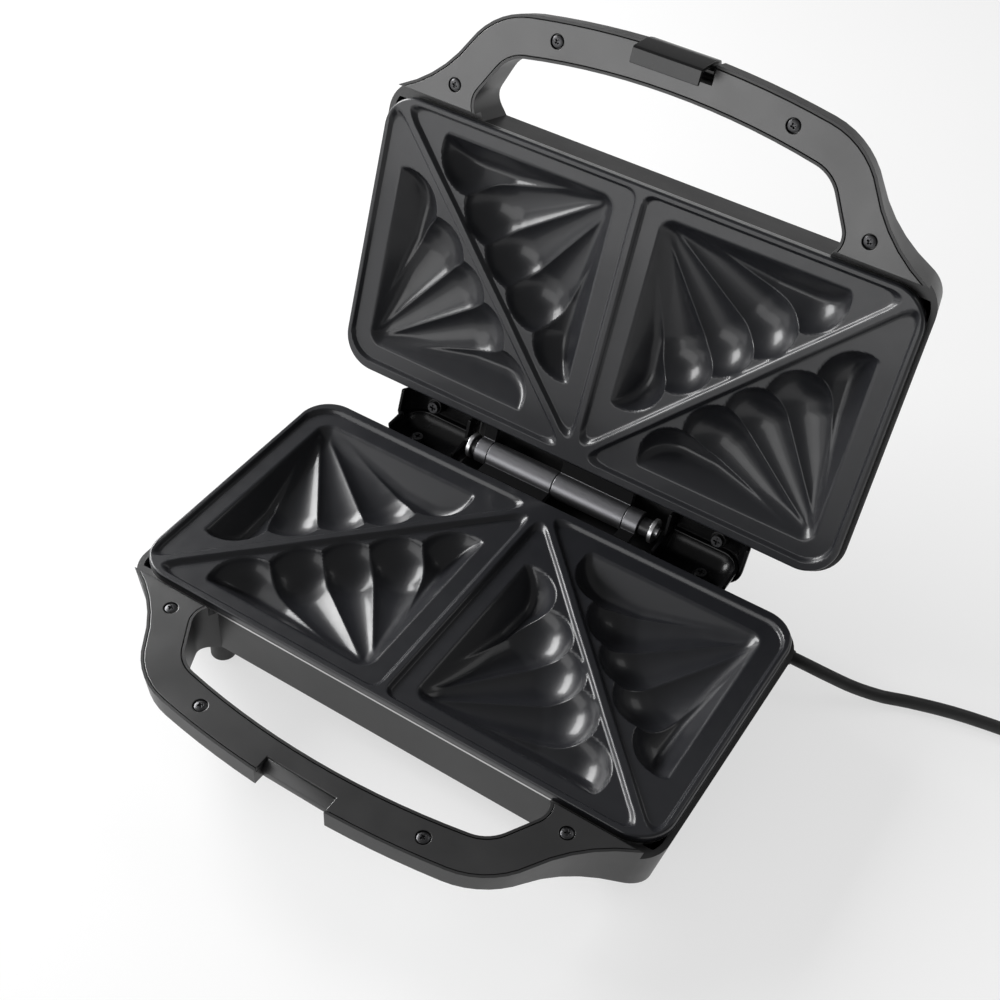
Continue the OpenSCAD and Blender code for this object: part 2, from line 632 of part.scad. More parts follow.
function end_dir(pts, i) = i == 0 ? unit(pts[1] - pts[0])
  : i == len(pts) - 1 ? unit(pts[i] - pts[i - 1]) : path_dir(pts, i);
module tube(pts, d, sides) polyhedron(
  points = [for (i = [0:len(pts) - 1]) each ring(pts[i], end_dir(pts, i), d / 2, sides)],
  faces = concat([[for (k = [0:sides - 1]) k]],
    [for (i = [0:len(pts) - 2], k = [0:sides - 1]) let (a = i * sides + k,
      b = i * sides + (k + 1) % sides) each [[a, a + sides, b], [b, a + sides, b + sides]]],
    [[for (k = [sides - 1:-1:0]) (len(pts) - 1) * sides + k]]));
cord_pts = concat(smooth(cord_route, 3), [cord_route[len(cord_route) - 1]]);

// Spare cord: a spiral in on the table, half a turn of climb, and a spiral out on top
function spiral_r(u) = coil_in + coil_pitch * sqrt(u * u + 0.01);
function lift_at(a) = let (d = abs(((a - tie_angle) % 360 + 540) % 360 - 180))
  d < 50 ? tie_lift * (0.5 + 0.5 * cos(d * 3.6)) : 0;
function climb(u) = u < -0.25 ? 0 : u > 0.25 ? 1 : 0.5 + 0.5 * sin(u * 360);
coil_from = cord_route[len(cord_route) - 1] + lead * [cos(cord_heading), sin(cord_heading), 0];
coil_c = [coil_from[0] - spiral_r(-turns_in) * cos(coil_start),
  coil_from[1] - spiral_r(-turns_in) * sin(coil_start)];
function coil_point(u) = let (a = coil_start + 360 * (u + turns_in))
  [coil_c[0] + spiral_r(u) * cos(a), coil_c[1] + spiral_r(u) * sin(a),
    cord_h + coil_pitch * climb(u) + lift_at(a)];
coil_steps = round(loop_rings * (turns_in + turns_out));
loops = [for (i = [0:coil_steps]) coil_point(-turns_in + (turns_in + turns_out) * i / coil_steps)];
tail_from = loops[coil_steps];
tail_h = unit([tail_from[0] - loops[coil_steps - 1][0], tail_from[1] - loops[coil_steps - 1][1]]);
function tail_point(s) = [tail_from[0] + s * tail_h[0], tail_from[1] + s * tail_h[1],
  s < tail_flat ? tail_from[2] : s > tail_flat + tail_drop ? plug_h
    : tail_from[2] + (plug_h - tail_from[2]) * (0.5 - 0.5 * cos(180 * (s - tail_flat) / tail_drop))];
tail = [for (i = [1:12]) tail_point((tail_flat + tail_drop + 2 * lead) * i / 12)];
coil_pts = concat([cord_route[len(cord_route) - 1]], loops, tail);
coil_gap = min([for (i = [0:2:len(coil_pts) - 1], j = [i + 10:len(coil_pts) - 1])
  norm(coil_pts[i] - coil_pts[j])]) - cord_d;
echo(coil_gap = coil_gap, coil_len = len(coil_pts));
plug_at = tail[11];
plug_turn = atan2(tail_h[1], tail_h[0]);
tie_radii = [for (k = [-2:1]) let (u = (tie_angle - coil_start) / 360 - turns_in + k + 1)
  if (u > -turns_in && u < turns_out) spiral_r(u)];

// Placing a half
module on_base() translate([0, -centre_y, mate_z]) children();
module on_lid() translate([0, hinge_y - centre_y, mate_z]) rotate([-open_angle, 0, 0])
  translate([0, -hinge_y, 0]) mirror([0, 0, 1]) children();
module on_table() translate([0, -centre_y, 0]) children();

module wire_passage(h, y) translate([passage_at[0], y, passage_at[1]]) rotate([-90, 0, 0])
  cylinder(h = h, d = passage_d, $fn = fine);
module base_housing() color("dimgray") on_base() difference() {
  housing(base_depth, panel_base, ear_r, true, base_rear, 0);
  wire_passage(wall + 2, back_y - wall - 1);
  both_sides() rod(floor_screw, wall + 1, screw_d + 2 * slack, -base_depth - 0.5);
}
module base_floor_panel() color("dimgray") on_base() difference() {
  floor_panel(panel_base, base_depth);
  for (i = [-3:3], y = [44, 74]) translate([i * 20 - 2, y, -big / 4]) cube([4, 18, big / 4]);
  both_sides() rod(floor_screw, 4, screw_d + 0.2, -base_depth - 1);
}
module base_handle_cover() color("gray") on_base() handle_cover();
module base_plate() color("darkslategray") on_base() cooking_plate([base_barrel, base_knuckle]);
module base_heater() color("silver") on_base() heater();
module base_reflector() color("silver") on_base() reflector();
module base_hinge_cover_right() color("black") on_base() hinge_cover(ear_r, ear_in, base_rear, 0);
module base_hinge_cover_left() color("black") on_base() mirror([1, 0, 0])
  hinge_cover(ear_r, ear_in, base_rear, 0);
module foot(p) color("black") on_base() difference() {
  rod(p, foot_h + base_depth / 2, foot_d, -mate_z);
  body_block(base_depth, 0);
  rod(p, 1.6, foot_d - 6, -mate_z);
}
front_foot = [94, 9];
rear_foot = [108, plate_d - 7];
module foot_front_right() foot(front_foot);
module foot_front_left() foot([-front_foot[0], front_foot[1]]);
module foot_rear_right() foot(rear_foot);
module foot_rear_left() foot([-rear_foot[0], rear_foot[1]]);
module thermostat() color("white") on_base() rod([0, 56], 13, 13, skirt_z - 13);
module thermal_fuse() color("ivory") on_base() translate([0, 78, skirt_z - 2.2])
  rotate([-90, 0, 0]) cylinder(h = 14, d = 4.4, $fn = fine);
block_at = [56, 112];
module terminal_block() color("ivory") on_base() difference() {
  at(block_at, wall - base_depth) cube([30, 13, 7.4]);
  for (i = [0:2]) translate([block_at[0] + 6 + 9 * i, block_at[1] - 1, wall + 3.6 - base_depth])
    rotate([-90, 0, 0]) cylinder(h = 15, d = 3, $fn = 24);
}
module base_wiring() color("firebrick") on_base() {
  z0 = wall + 3.6 - base_depth;
  wire([[passage_at[0], back_y + 4, passage_at[1]], [passage_at[0], plate_d - 9, passage_at[1]],
    [84, block_at[1] + 15.4, z0]], 2.4);
  for (i = [0, 1]) wire([[block_at[0] + 6 + 9 * i, block_at[1] - 1.6, z0],
    [block_at[0] + 6 + 9 * i, heater_y[1] + 2 - 5 * i, z0],
    [(1 - 2 * i) * heater_gap / 2, heater_y[1] + 2 - 5 * i, z0],
    [(1 - 2 * i) * heater_gap / 2, heater_y[1], heater_z - heater_d / 4 - 1.4]], 2.4);
}
module cord_outlet() color("black") on_base() difference() {
  translate([relief_at[0] - 22, back_y, -base_depth]) cube([22, 11, 18]);
  wire_passage(7, back_y - 1);
}
module strain_relief() color("black") on_table() translate(relief_at) rotate([0, 90, 0])
  difference() {
    cylinder(h = relief_len, d1 = 10.4, d2 = cord_d + 1, $fn = fine);
    for (i = [1:4]) translate([0, 0, i * 4.4 - 1]) rotate_extrude($fn = fine)
      translate([5.1 - 0.42 * i, 0]) square([4, 1.4]);
  }
module base_handle_screws() color("dimgray") on_base() handle_screw_set();
module base_hinge_screws() color("dimgray") on_base() hinge_screw_set(ear_r);
module base_plate_screws() color("silver") on_base() plate_screw_set(base_depth);
module floor_panel_screws() color("silver") on_base() both_sides() mirror([0, 0, 1])
  screw(floor_screw, base_depth + head_h, 2.4);
module hinge_pin() color("silver") on_base()
  along_x(-washer_x - washer_t - 1.5, washer_x + washer_t + 1.5, pin_d, hinge_y, 0);
module sleeve(x0, x1, d) difference() {
  along_x(x0, x1, d, hinge_y, 0);
  along_x(x0 - 1, x1 + 1, pin_d + 2 * pin_fit, hinge_y, 0);
}
module hinge_bushes() color("black") on_base() {
  sleeve(lid_knuckle[0] - 0.3 - bush_len, lid_knuckle[0] - 0.3, bush_d);
  sleeve(base_knuckle[1] + 0.3, washer_x - 0.2, bush_d);
}
module hinge_washer_right() color("silver") on_base()
  sleeve(washer_x, washer_x + washer_t, washer_d);
module hinge_washer_left() color("silver") on_base()
  sleeve(-washer_x - washer_t, -washer_x, washer_d);

module lid_housing() color("dimgray") on_lid() difference() {
  housing(lid_depth, panel_lid, lid_ear_r, false, 0, lid_tail);
  for (p = lens_at) rod(p, wall + 2, lamp_d + 0.4, -lid_depth - 1);
  along_x(-recess_x - 3, recess_x + 3, latch_pin_d + 2 * slack, latch_pivot[0], latch_pivot[1]);
}
module lid_top_panel() color("gray") on_lid() difference() {
  floor_panel(panel_lid, lid_depth);
  for (p = lens_at) rod(p, 6, lens_d + 0.2, -lid_depth - 1);
}
module lid_handle_cover() color("gray") on_lid() handle_cover();
module lid_plate() color("darkslategray") on_lid() cooking_plate([lid_barrel, lid_knuckle]);
module lid_heater() color("silver") on_lid() heater();
module lid_reflector() color("silver") on_lid() reflector();
module lid_hinge_cover_right() color("black") on_lid() hinge_cover(lid_ear_r, ear_in, 0, lid_tail);
module lid_hinge_cover_left() color("black") on_lid() mirror([1, 0, 0])
  hinge_cover(lid_ear_r, ear_in, 0, lid_tail);
module lid_wiring() color("firebrick") on_lid() {
  z0 = tray_z - tray_t - 1.6;
  for (i = [-1, 1]) wire([[i * heater_gap / 2, heater_y[1], heater_z - heater_d / 4 - 1.4],
    [i * heater_gap / 2, heater_y[1], z0], [i * lens_at[1][0], heater_y[1], z0],
    [i * lens_at[1][0], lens_at[1][1], z0]], 2.4);
}
module lid_handle_screws() color("dimgray") on_lid() handle_screw_set();
module lid_hinge_screws() color("dimgray") on_lid() hinge_screw_set(lid_ear_r);
module lid_plate_screws() color("silver") on_lid() plate_screw_set(lid_depth);
module lens(p) on_lid() at(p, -lid_depth) {
  cylinder(h = panel_t, d = lens_d, $fn = fine);
  translate([0, 0, -0.8]) cylinder(h = 0.8, d1 = lens_d - 2, d2 = lens_d, $fn = fine);
}
module power_lens() color("red") lens(lens_at[0]);
module ready_lens() color("green") lens(lens_at[1]);
module indicator_lamps() color("orange") on_lid() for (p = lens_at)
  rod(p, 4.2, lamp_d, panel_t + 0.2 - lid_depth);
module latch_clip() color("dimgray") on_lid() latch();
module latch_pin() color("silver") on_lid()
  along_x(-recess_x - 2.8, recess_x + 2.8, latch_pin_d, latch_pivot[0], latch_pivot[1]);

module cord() color("black") on_table() tube(cord_pts, cord_d, cord_sides);
module cord_coil() color("black") on_table() tube(coil_pts, cord_d, loop_sides);
module coil_tie() color("dimgray") on_table() at(coil_c, 0) rotate([0, 0, tie_angle]) {
  gap = cord_d / 2 + 0.3;
  x0 = min(tie_radii) - gap;
  x1 = max(tie_radii) + gap;
  top = tie_t + 0.3 + coil_pitch + cord_d + 0.3;
  difference() {
    translate([x0 - tie_t, -tie_w / 2, 0]) cube([x1 - x0 + 2 * tie_t, tie_w, top + tie_t]);
    translate([x0, -tie_w, tie_t]) cube([x1 - x0, 2 * tie_w, top - tie_t]);
  }
}
module plug() color("black") on_table() translate([plug_at[0], plug_at[1], 0])
  rotate([0, 0, plug_turn]) difference() {
    union() {
      translate([0, 0, plug_h]) rotate([0, 90, 0]) cylinder(h = sleeve_len + 4, d1 = cord_d + 2.4,
        d2 = 2 * plug_h - 1.6, $fn = fine);
      translate([sleeve_len + plug_d / 2, 0, 0]) cylinder(h = plug_t, d = plug_d, $fn = fine);
    }
    translate([sleeve_len + plug_d / 2, 0, 0]) for (s = [-1, 1])
      translate([-3, s * plug_d / 2 - 1.5, 3]) cube([6, 3, plug_t]);
    translate([sleeve_len + plug_d / 2, 0, 0]) for (s = [-1, 1])
      translate([s * 9.5, 0, 5]) cylinder(h = plug_t, d = 4.8, $fn = fine);
  }
module plug_pins() color("silver") on_table() translate([plug_at[0], plug_at[1], 0])
  rotate([0, 0, plug_turn]) translate([sleeve_len + plug_d / 2, 0, 0]) for (s = [-1, 1])
    translate([s * 9.5, 0, 5]) cylinder(h = plug_t - 5 + 19, d = 4.8, $fn = fine);
module plug_earth_clips() color("silver") on_table() translate([plug_at[0], plug_at[1], 0])
  rotate([0, 0, plug_turn]) translate([sleeve_len + plug_d / 2, 0, 0]) for (m = [0, 1])
    mirror([0, m, 0]) translate([-2.5, plug_d / 2 - 1.5, 3]) cube([5, 1, plug_t - 2.4]);

base_housing();
base_floor_panel();
base_handle_cover();
base_plate();
base_heater();
base_reflector();
base_hinge_cover_left();
base_hinge_cover_right();
foot_front_left();
foot_front_right();
foot_rear_left();
foot_rear_right();
thermostat();
thermal_fuse();
terminal_block();
base_wiring();
cord_outlet();
strain_relief();
base_handle_screws();
base_hinge_screws();
base_plate_screws();
floor_panel_screws();
hinge_pin();
hinge_bushes();
hinge_washer_left();
hinge_washer_right();
lid_housing();
lid_top_panel();
lid_handle_cover();
lid_plate();
lid_heater();
lid_reflector();
lid_hinge_cover_left();
lid_hinge_cover_right();
lid_wiring();
lid_handle_screws();
lid_hinge_screws();
lid_plate_screws();
power_lens();
ready_lens();
indicator_lamps();
latch_clip();
latch_pin();
cord();
cord_coil();
coil_tie();
plug();
plug_pins();
plug_earth_clips();
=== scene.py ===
"""Looks of a hinged sandwich toaster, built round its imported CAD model.

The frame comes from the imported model. Lengths of the toaster's own layout are in
millimetres in a half's own frame: x to the right, y from the plate's front edge to the
back, z up from the parting plane, so a half lies below z = 0. on_base and on_lid carry
such points to the row frame in metres.
"""
import json
import math

import bpy
import numpy as np
from bpy.props import FloatProperty, FloatVectorProperty, IntProperty, PointerProperty
from bpy.types import Operator, Panel, PropertyGroup
from mathutils import Euler, Matrix, Vector

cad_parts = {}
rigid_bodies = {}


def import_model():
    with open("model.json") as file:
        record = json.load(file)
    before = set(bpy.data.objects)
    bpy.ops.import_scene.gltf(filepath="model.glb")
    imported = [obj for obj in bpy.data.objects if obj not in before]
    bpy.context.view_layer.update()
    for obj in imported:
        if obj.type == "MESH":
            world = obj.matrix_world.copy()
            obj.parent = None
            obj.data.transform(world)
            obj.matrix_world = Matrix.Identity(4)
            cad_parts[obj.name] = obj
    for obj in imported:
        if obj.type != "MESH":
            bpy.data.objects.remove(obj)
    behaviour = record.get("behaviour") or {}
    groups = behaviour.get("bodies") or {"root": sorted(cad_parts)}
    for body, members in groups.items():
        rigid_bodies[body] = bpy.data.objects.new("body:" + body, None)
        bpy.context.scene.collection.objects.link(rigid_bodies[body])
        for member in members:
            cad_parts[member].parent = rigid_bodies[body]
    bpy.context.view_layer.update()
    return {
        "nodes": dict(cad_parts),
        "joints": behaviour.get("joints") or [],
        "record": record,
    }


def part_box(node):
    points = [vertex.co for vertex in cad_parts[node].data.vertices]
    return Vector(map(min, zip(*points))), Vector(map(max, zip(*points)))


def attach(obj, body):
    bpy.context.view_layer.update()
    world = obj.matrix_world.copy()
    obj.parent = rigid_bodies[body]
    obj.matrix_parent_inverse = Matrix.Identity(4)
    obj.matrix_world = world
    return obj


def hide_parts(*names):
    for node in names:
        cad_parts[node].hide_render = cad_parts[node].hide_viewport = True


bl_info = {
    "name": "Sandwich toaster looks",
    "version": (1, 0, 0),
    "blender": (4, 5, 0),
    "location": "3D View > Sidebar > Toaster",
    "description": "Plates, covers, hinge, cord and finishes of a sandwich toaster",
    "category": "Object",
}

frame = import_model()
JOINTS = {joint["name"]: joint for joint in frame["joints"]}
HINGE = Vector(JOINTS["lid_hinge"]["pos_m"])
OPEN_ANGLE = math.radians(JOINTS["lid_hinge"]["range_deg"][1])
MM = 0.001

# Layout of a half, in millimetres, as in the CAD model
HINGE_Y = 153.3
MATE_Z = 46.0
CENTRE_Y = HINGE_Y - HINGE.y / MM
PLATE = (135.0, 140.0)
PLATE_CORNER = 17.0
HANDLE_SCREWS = ((101.8, -12.4), (56.3, -46.1))

# Cooking plate's surface, in millimetres and degrees
SPINE = 2.0  # half width of the ridge between the two slices
LIP = 3.0  # width of the rim outside the sandwich areas
RIM_BACK = 2.0  # how much wider the rim is along the hinge
RIDGE_DROP = 0.25  # ridge tops below the parting plane
AREA_ROUND = 9.0  # rounding of an area's acute corners
SPINE_ROUND = 6.0  # rounding of its corners at the middle ridge
AREA_EDGE = 0.7  # how far the slope starts outside the area's outline
APEX = (6.0, 6.5)  # where the five scallops of a pocket meet
LEGS = (11.5, 10.0)  # corner of a pocket's outline
LEGS_CORNER = 7.0  # its radius
LEGS_SLOPE = 1.15  # steepness of the pocket's straight walls
LEGS_LIFT = 0.5  # height of these walls' foot over the area
LEGS_BLEND = 3.6  # rounding between these walls and the scallops
POCKET_BLEND = 1.2  # rounding of a pocket's outline
FAR_CORNER = (134.0, 136.5)  # corner from which the outer pocket is measured
SCALLOP_STEP = 18.6  # angle from one scallop to the next
SCALLOP_REACH = 64.6  # from the apex to the middle of the end ball
SCALLOP_R = 19.6  # radius of the end ball
SCALLOP_ENDS = (79.0, 68.0, 64.6, 68.0, 79.0)  # where each scallop's level run ends
SCALLOP_LIFT = 2.6  # height of the cones' tips over the area
APEX_BLEND = 1.9  # extra rounding of the creases at the apex
APEX_REACH = 18.0  # how far that rounding reaches
NOWHERE = 30.0  # height given to points that a shape doesn't cover
FAR = 600.0  # side of a box that is open on that side

# Cooking plate's casting, in millimetres
SKIRT = 3.3
SKIRT_TURN = 0.35
SKIRT_IN = 0.4
BACK_INSET = 1.2
BACK_WALL = 3.0
BACK_TOP = -5.0
BACK_CELLS = (96, 36)
CORNER_SHARE = 0.28  # rows round a corner, as a share of the straight side's

# Hinge barrels, and the rounding of small pieces' edges, in metres
BARREL_R = 0.0065
SMALL_EDGE = 0.0003

# Latch recesses: opposite corners of the base's ramp before it is cut to its slope, how far
# it goes on into the handle, and opposite corners of the painted-shade block behind the lid's clip
RAMP = ((-17.3, -54.6, -8.7), (17.3, -50.9, -1.4))
RAMP_BACK = 0.6
LATCH_SHADE_BLOCK = ((-17.3, -52.3, -9.5), (17.3, -46.4, -7.5))

# Screw heads of the handles: radius, height, shank radius and shank length
HANDLE_SCREW = (2.75, 1.8, 1.5, 5.0)

# Cord: diameter, height of its middle on the table, route, coil and tail
CORD_D = 6.2
CORD_H = 0.4 * CORD_D
CORD_ROUTE = (
    (132, 148, 14), (139, 148, 14), (150, 150, 11.6), (162, 154.6, 6.8), (175, 160.4, 3.2),
    (190, 166, CORD_H), (212, 172, CORD_H), (250, 178.5, CORD_H), (280, 184, CORD_H),
    (288, 185.4, CORD_H),
)
CORD_HEADING = 9.9
COIL_D = 68.0
COIL_PITCH = CORD_D + 0.6
TURNS_IN = 1.75
TIE_ANGLE = 150.0
TIE_SPREAD = 50.0
TIE_LIFT = 0.8 + 0.3 + CORD_D / 2 - CORD_H
TAIL_FLAT = 26.0
TAIL_DROP = 40.0
TAIL_STEPS = 24
PLUG_H = 8.5

# Stage, in metres: each lamp's place, aim and size, then the camera, turned in degrees
LAMPS = {
    "key": ((-1.05, 0.0, 0.6), (0, 0, 0.05), (1.0, 0.45)),
    "front": ((-0.6, -1.3, 0.42), (0, 0, 0.15), (1.5, 0.7)),
    "rim": ((0.5, 0.9, 0.9), (0, 0, 0.05), (0.9, 0.5)),
}
CAMERA_PLACE = (0.2363, -0.40705, 0.5594)
CAMERA_TURN = (45.1811, -2.9898, 32.5571)


# Sizes and colours that can be changed
class ToasterPlates(PropertyGroup):
    """Sizes of the cooking plates' surface."""

    area_drop: FloatProperty(
        name="Area drop", description="Depth of a sandwich area below the rim, mm", default=2.4
    )
    scallop_depth: FloatProperty(
        name="Scallop depth", description="Depth of a scallop below its area, mm", default=13.0
    )
    ridge: FloatProperty(
        name="Ridge", description="Width of a cutting ridge's flat top, mm", default=4.2
    )
    slope: FloatProperty(
        name="Slope", description="Width of the slope from a rim down to its area, mm", default=1.9
    )
    edge: FloatProperty(
        name="Edge", description="Radius of the plate's rounded outer edge, mm", default=1.1
    )
    softness: FloatProperty(
        name="Softness", description="Rounding between one scallop and the next, mm", default=0.6
    )
    columns: IntProperty(name="Columns", description="Grid cells across a plate", default=376)
    rows: IntProperty(
        name="Rows", description="Grid cells along a plate's straight side", default=146
    )


class ToasterTrim(PropertyGroup):
    """Sizes of small details."""

    edge: FloatProperty(
        name="Edge", description="Rounding of the moulded edges", default=0.0004, unit="LENGTH"
    )
    screw_dome: FloatProperty(
        name="Screw dome", description="Rise of a screw head's middle, mm", default=0.4
    )
    cord_width: FloatProperty(
        name="Cord", description="Diameter of the mains cord", default=0.0062, unit="LENGTH"
    )


class ToasterColours(PropertyGroup):
    """Colours of the finishes."""

    coating: FloatVectorProperty(
        name="Coating", description="Non-stick coating of the plates", subtype="COLOR",
        default=(0.012, 0.0125, 0.015),
    )
    cover: FloatVectorProperty(
        name="Covers", description="Handle covers", subtype="COLOR", default=(0.009, 0.009, 0.0095)
    )
    shell: FloatVectorProperty(
        name="Shells", description="Housings", subtype="COLOR", default=(0.010, 0.010, 0.0105)
    )
    # also the colour of the painted-shade finish on the hinge webs and the latch recess
    gloss: FloatVectorProperty(
        name="Gloss", description="Hinge covers", subtype="COLOR", default=(0.003, 0.003, 0.0033)
    )
    steel: FloatVectorProperty(
        name="Steel", description="Bright steel", subtype="COLOR", default=(0.62, 0.62, 0.63)
    )
    sheath: FloatVectorProperty(
        name="Sheath", description="Cord and feet", subtype="COLOR", default=(0.012, 0.012, 0.012)
    )


class ToasterStage(PropertyGroup):
    """Camera, lamps and floor."""

    lens: FloatProperty(name="Lens", description="Focal length of the camera, mm", default=54.908)
    key: FloatProperty(name="Key", description="Power of the left lamp", default=24.0, unit="POWER")
    front: FloatProperty(
        name="Front", description="Power of the front lamp", default=8.6, unit="POWER"
    )
    rim: FloatProperty(name="Rim", description="Power of the back lamp", default=2.0, unit="POWER")
    floor: FloatProperty(name="Floor", description="Paleness of the floor", default=0.86)
    glow: FloatProperty(
        name="Glow", description="Share of plain white in the floor as the camera sees it",
        default=0.62, subtype="FACTOR", min=0, max=1,
    )
    sky: FloatProperty(name="Sky", description="Strength of the world's light", default=0.22)


GROUPS = {
    "toaster_plates": ToasterPlates,
    "toaster_trim": ToasterTrim,
    "toaster_colours": ToasterColours,
    "toaster_stage": ToasterStage,
}


# Shader maths
class Socket:
    """One output socket of a material, with operators that add Math nodes."""

    def __init__(self, paint, socket):
        self.paint = paint
        self.socket = socket

    def _math(self, operation, first, second):
        return self.paint.node("ShaderNodeMath", {"operation": operation}, {0: first, 1: second})

    def __add__(self, other):
        return self._math("ADD", self, other)

    def __radd__(self, other):
        return self._math("ADD", other, self)

    def __mul__(self, other):
        return self._math("MULTIPLY", self, other)

    def __rmul__(self, other):
        return self._math("MULTIPLY", other, self)


class Paint:
    """A material being made: one method adds any node, and the rest are its common mixes."""

    def __init__(self, name):
        self.material = bpy.data.materials.new(name)
        self.material.use_nodes = True
        self.tree = self.material.node_tree
        self.shader = self.tree.nodes["Principled BSDF"]

    def node(self, kind, settings=None, inputs=None, output=0):
        made = self.tree.nodes.new(kind)
        for key, value in (settings or {}).items():
            if key == "stops":
                ramp = made.color_ramp
                while len(ramp.elements) < len(value):
                    ramp.elements.new(0.5)
                for element, (place, grey) in zip(ramp.elements, value):
                    element.position = place
                    element.color = (grey, grey, grey, 1)
            else:
                setattr(made, key, value)
        for key, value in (inputs or {}).items():
            self.feed(made.inputs[key], value)
        return Socket(self, made.outputs[output])

    def feed(self, socket, value):
        if isinstance(value, Socket):
            self.tree.links.new(value.socket, socket)
        else:
            socket.default_value = value

    def set(self, **values):
        for key, value in values.items():
            self.feed(self.shader.inputs[key.replace("_", " ")], value)

    def place(self, scale=(1, 1, 1)):
        here = self.node("ShaderNodeTexCoord", {}, {}, "Object")
        return self.node("ShaderNodeMapping", {}, {"Vector": here, "Scale": scale})

    def noise(self, scale, detail=3.0, place=None):
        return self.node(
            "ShaderNodeTexNoise", {},
            {
                "Vector": place or self.place(), "Scale": scale, "Detail": detail,
                "Roughness": 0.55,
            },
        )

    def ramp(self, value, *stops):
        return self.node("ShaderNodeValToRGB", {"stops": stops}, {0: value})

    def tint(self, mask, dark, light):
        return self.node(
            "ShaderNodeMix", {"data_type": "RGBA"}, {0: mask, 6: (*dark, 1), 7: (*light, 1)}, 2
        )

    def bump(self, height, strength, distance, normal=None):
        inputs = {"Height": height, "Strength": strength, "Distance": distance}
        if normal:
            inputs["Normal"] = normal
        return self.node("ShaderNodeBump", {}, inputs)

    def soft_edges(self, radius):
        return self.node("ShaderNodeBevel", {"samples": 4}, {"Radius": radius})


def shade(colour, factor):
    """The colour times a factor."""
    return tuple(min(1.0, c * factor) for c in colour)


def coated_metal(name, colour):
    """Satin non-stick coating: soft mottling, a fine orange peel and a little gloss change."""
    paint = Paint(name)
    cloud = paint.noise(60.0, 4.0)
    peel = paint.noise(2600.0, 2.0)
    paint.set(
        Base_Color=paint.tint(cloud, shade(colour, 0.9), shade(colour, 1.12)),
        Roughness=paint.ramp(paint.noise(140.0, 5.0), (0.3, 0.32), (0.7, 0.39)),
        Specular_IOR_Level=0.38,
        Coat_Weight=0.25,
        Coat_Roughness=0.11,
        Normal=paint.bump(peel, 0.06, 0.0002),
    )
    return paint.material


def moulded(name, colour, rough, grain, depth, edge=0.0, gloss=0.5):
    """Moulded plastic: fine spark-eroded grain, faint mottling, rounded edges."""
    paint = Paint(name)
    fine = paint.noise(grain, 2.0)
    smear = paint.noise(35.0, 4.0)
    paint.set(
        Base_Color=paint.tint(smear, shade(colour, 0.88), shade(colour, 1.15)),
        Roughness=paint.ramp(smear, (0.3, rough - 0.03), (0.7, rough + 0.05)),
        Specular_IOR_Level=gloss,
        Normal=paint.bump(fine, depth, 0.0002, paint.soft_edges(edge) if edge else None),
    )
    return paint.material


def bright_metal(name, colour, rough, along=(1, 1, 1)):
    """Turned or rolled metal with fine lines."""
    paint = Paint(name)
    lines = paint.noise(900.0, 3.0, place=paint.place(along))
    paint.set(
        Base_Color=paint.tint(lines, shade(colour, 0.85), shade(colour, 1.1)),
        Metallic=1.0,
        Roughness=paint.ramp(lines, (0.3, rough), (0.7, rough + 0.12)),
        Normal=paint.bump(lines, 0.1, 0.0001),
    )
    return paint.material


def rubber(name, colour):
    """Matt flexible sheath with a dusty bloom."""
    paint = Paint(name)
    bloom = paint.noise(220.0, 4.0)
    paint.set(
        Base_Color=paint.tint(bloom, shade(colour, 0.8), shade(colour, 1.5)),
        Roughness=paint.ramp(bloom, (0.35, 0.5), (0.7, 0.66)),
        Normal=paint.bump(paint.noise(1500.0, 2.0), 0.12, 0.0002),
    )
    return paint.material


def ceramic(name, colour):
    """Plain fired ceramic or enamel, speckled."""
    paint = Paint(name)
    speck = paint.noise(500.0, 5.0)
    paint.set(
        Base_Color=paint.tint(speck, shade(colour, 0.9), shade(colour, 1.05)),
        Roughness=paint.ramp(speck, (0.3, 0.4), (0.7, 0.55)),
        Normal=paint.bump(speck, 0.1, 0.0002),
    )
    return paint.material


def tinted_lens(name, colour):
    """Tinted clear plastic, read as a deep glossy colour with a soft core."""
    paint = Paint(name)
    core = paint.noise(300.0, 2.0)
    paint.set(
        Base_Color=paint.tint(core, shade(colour, 0.6), colour),
        Roughness=0.12,
        Transmission_Weight=0.35,
        Normal=paint.bump(core, 0.05, 0.0001),
    )
    return paint.material


MATERIALS = {}


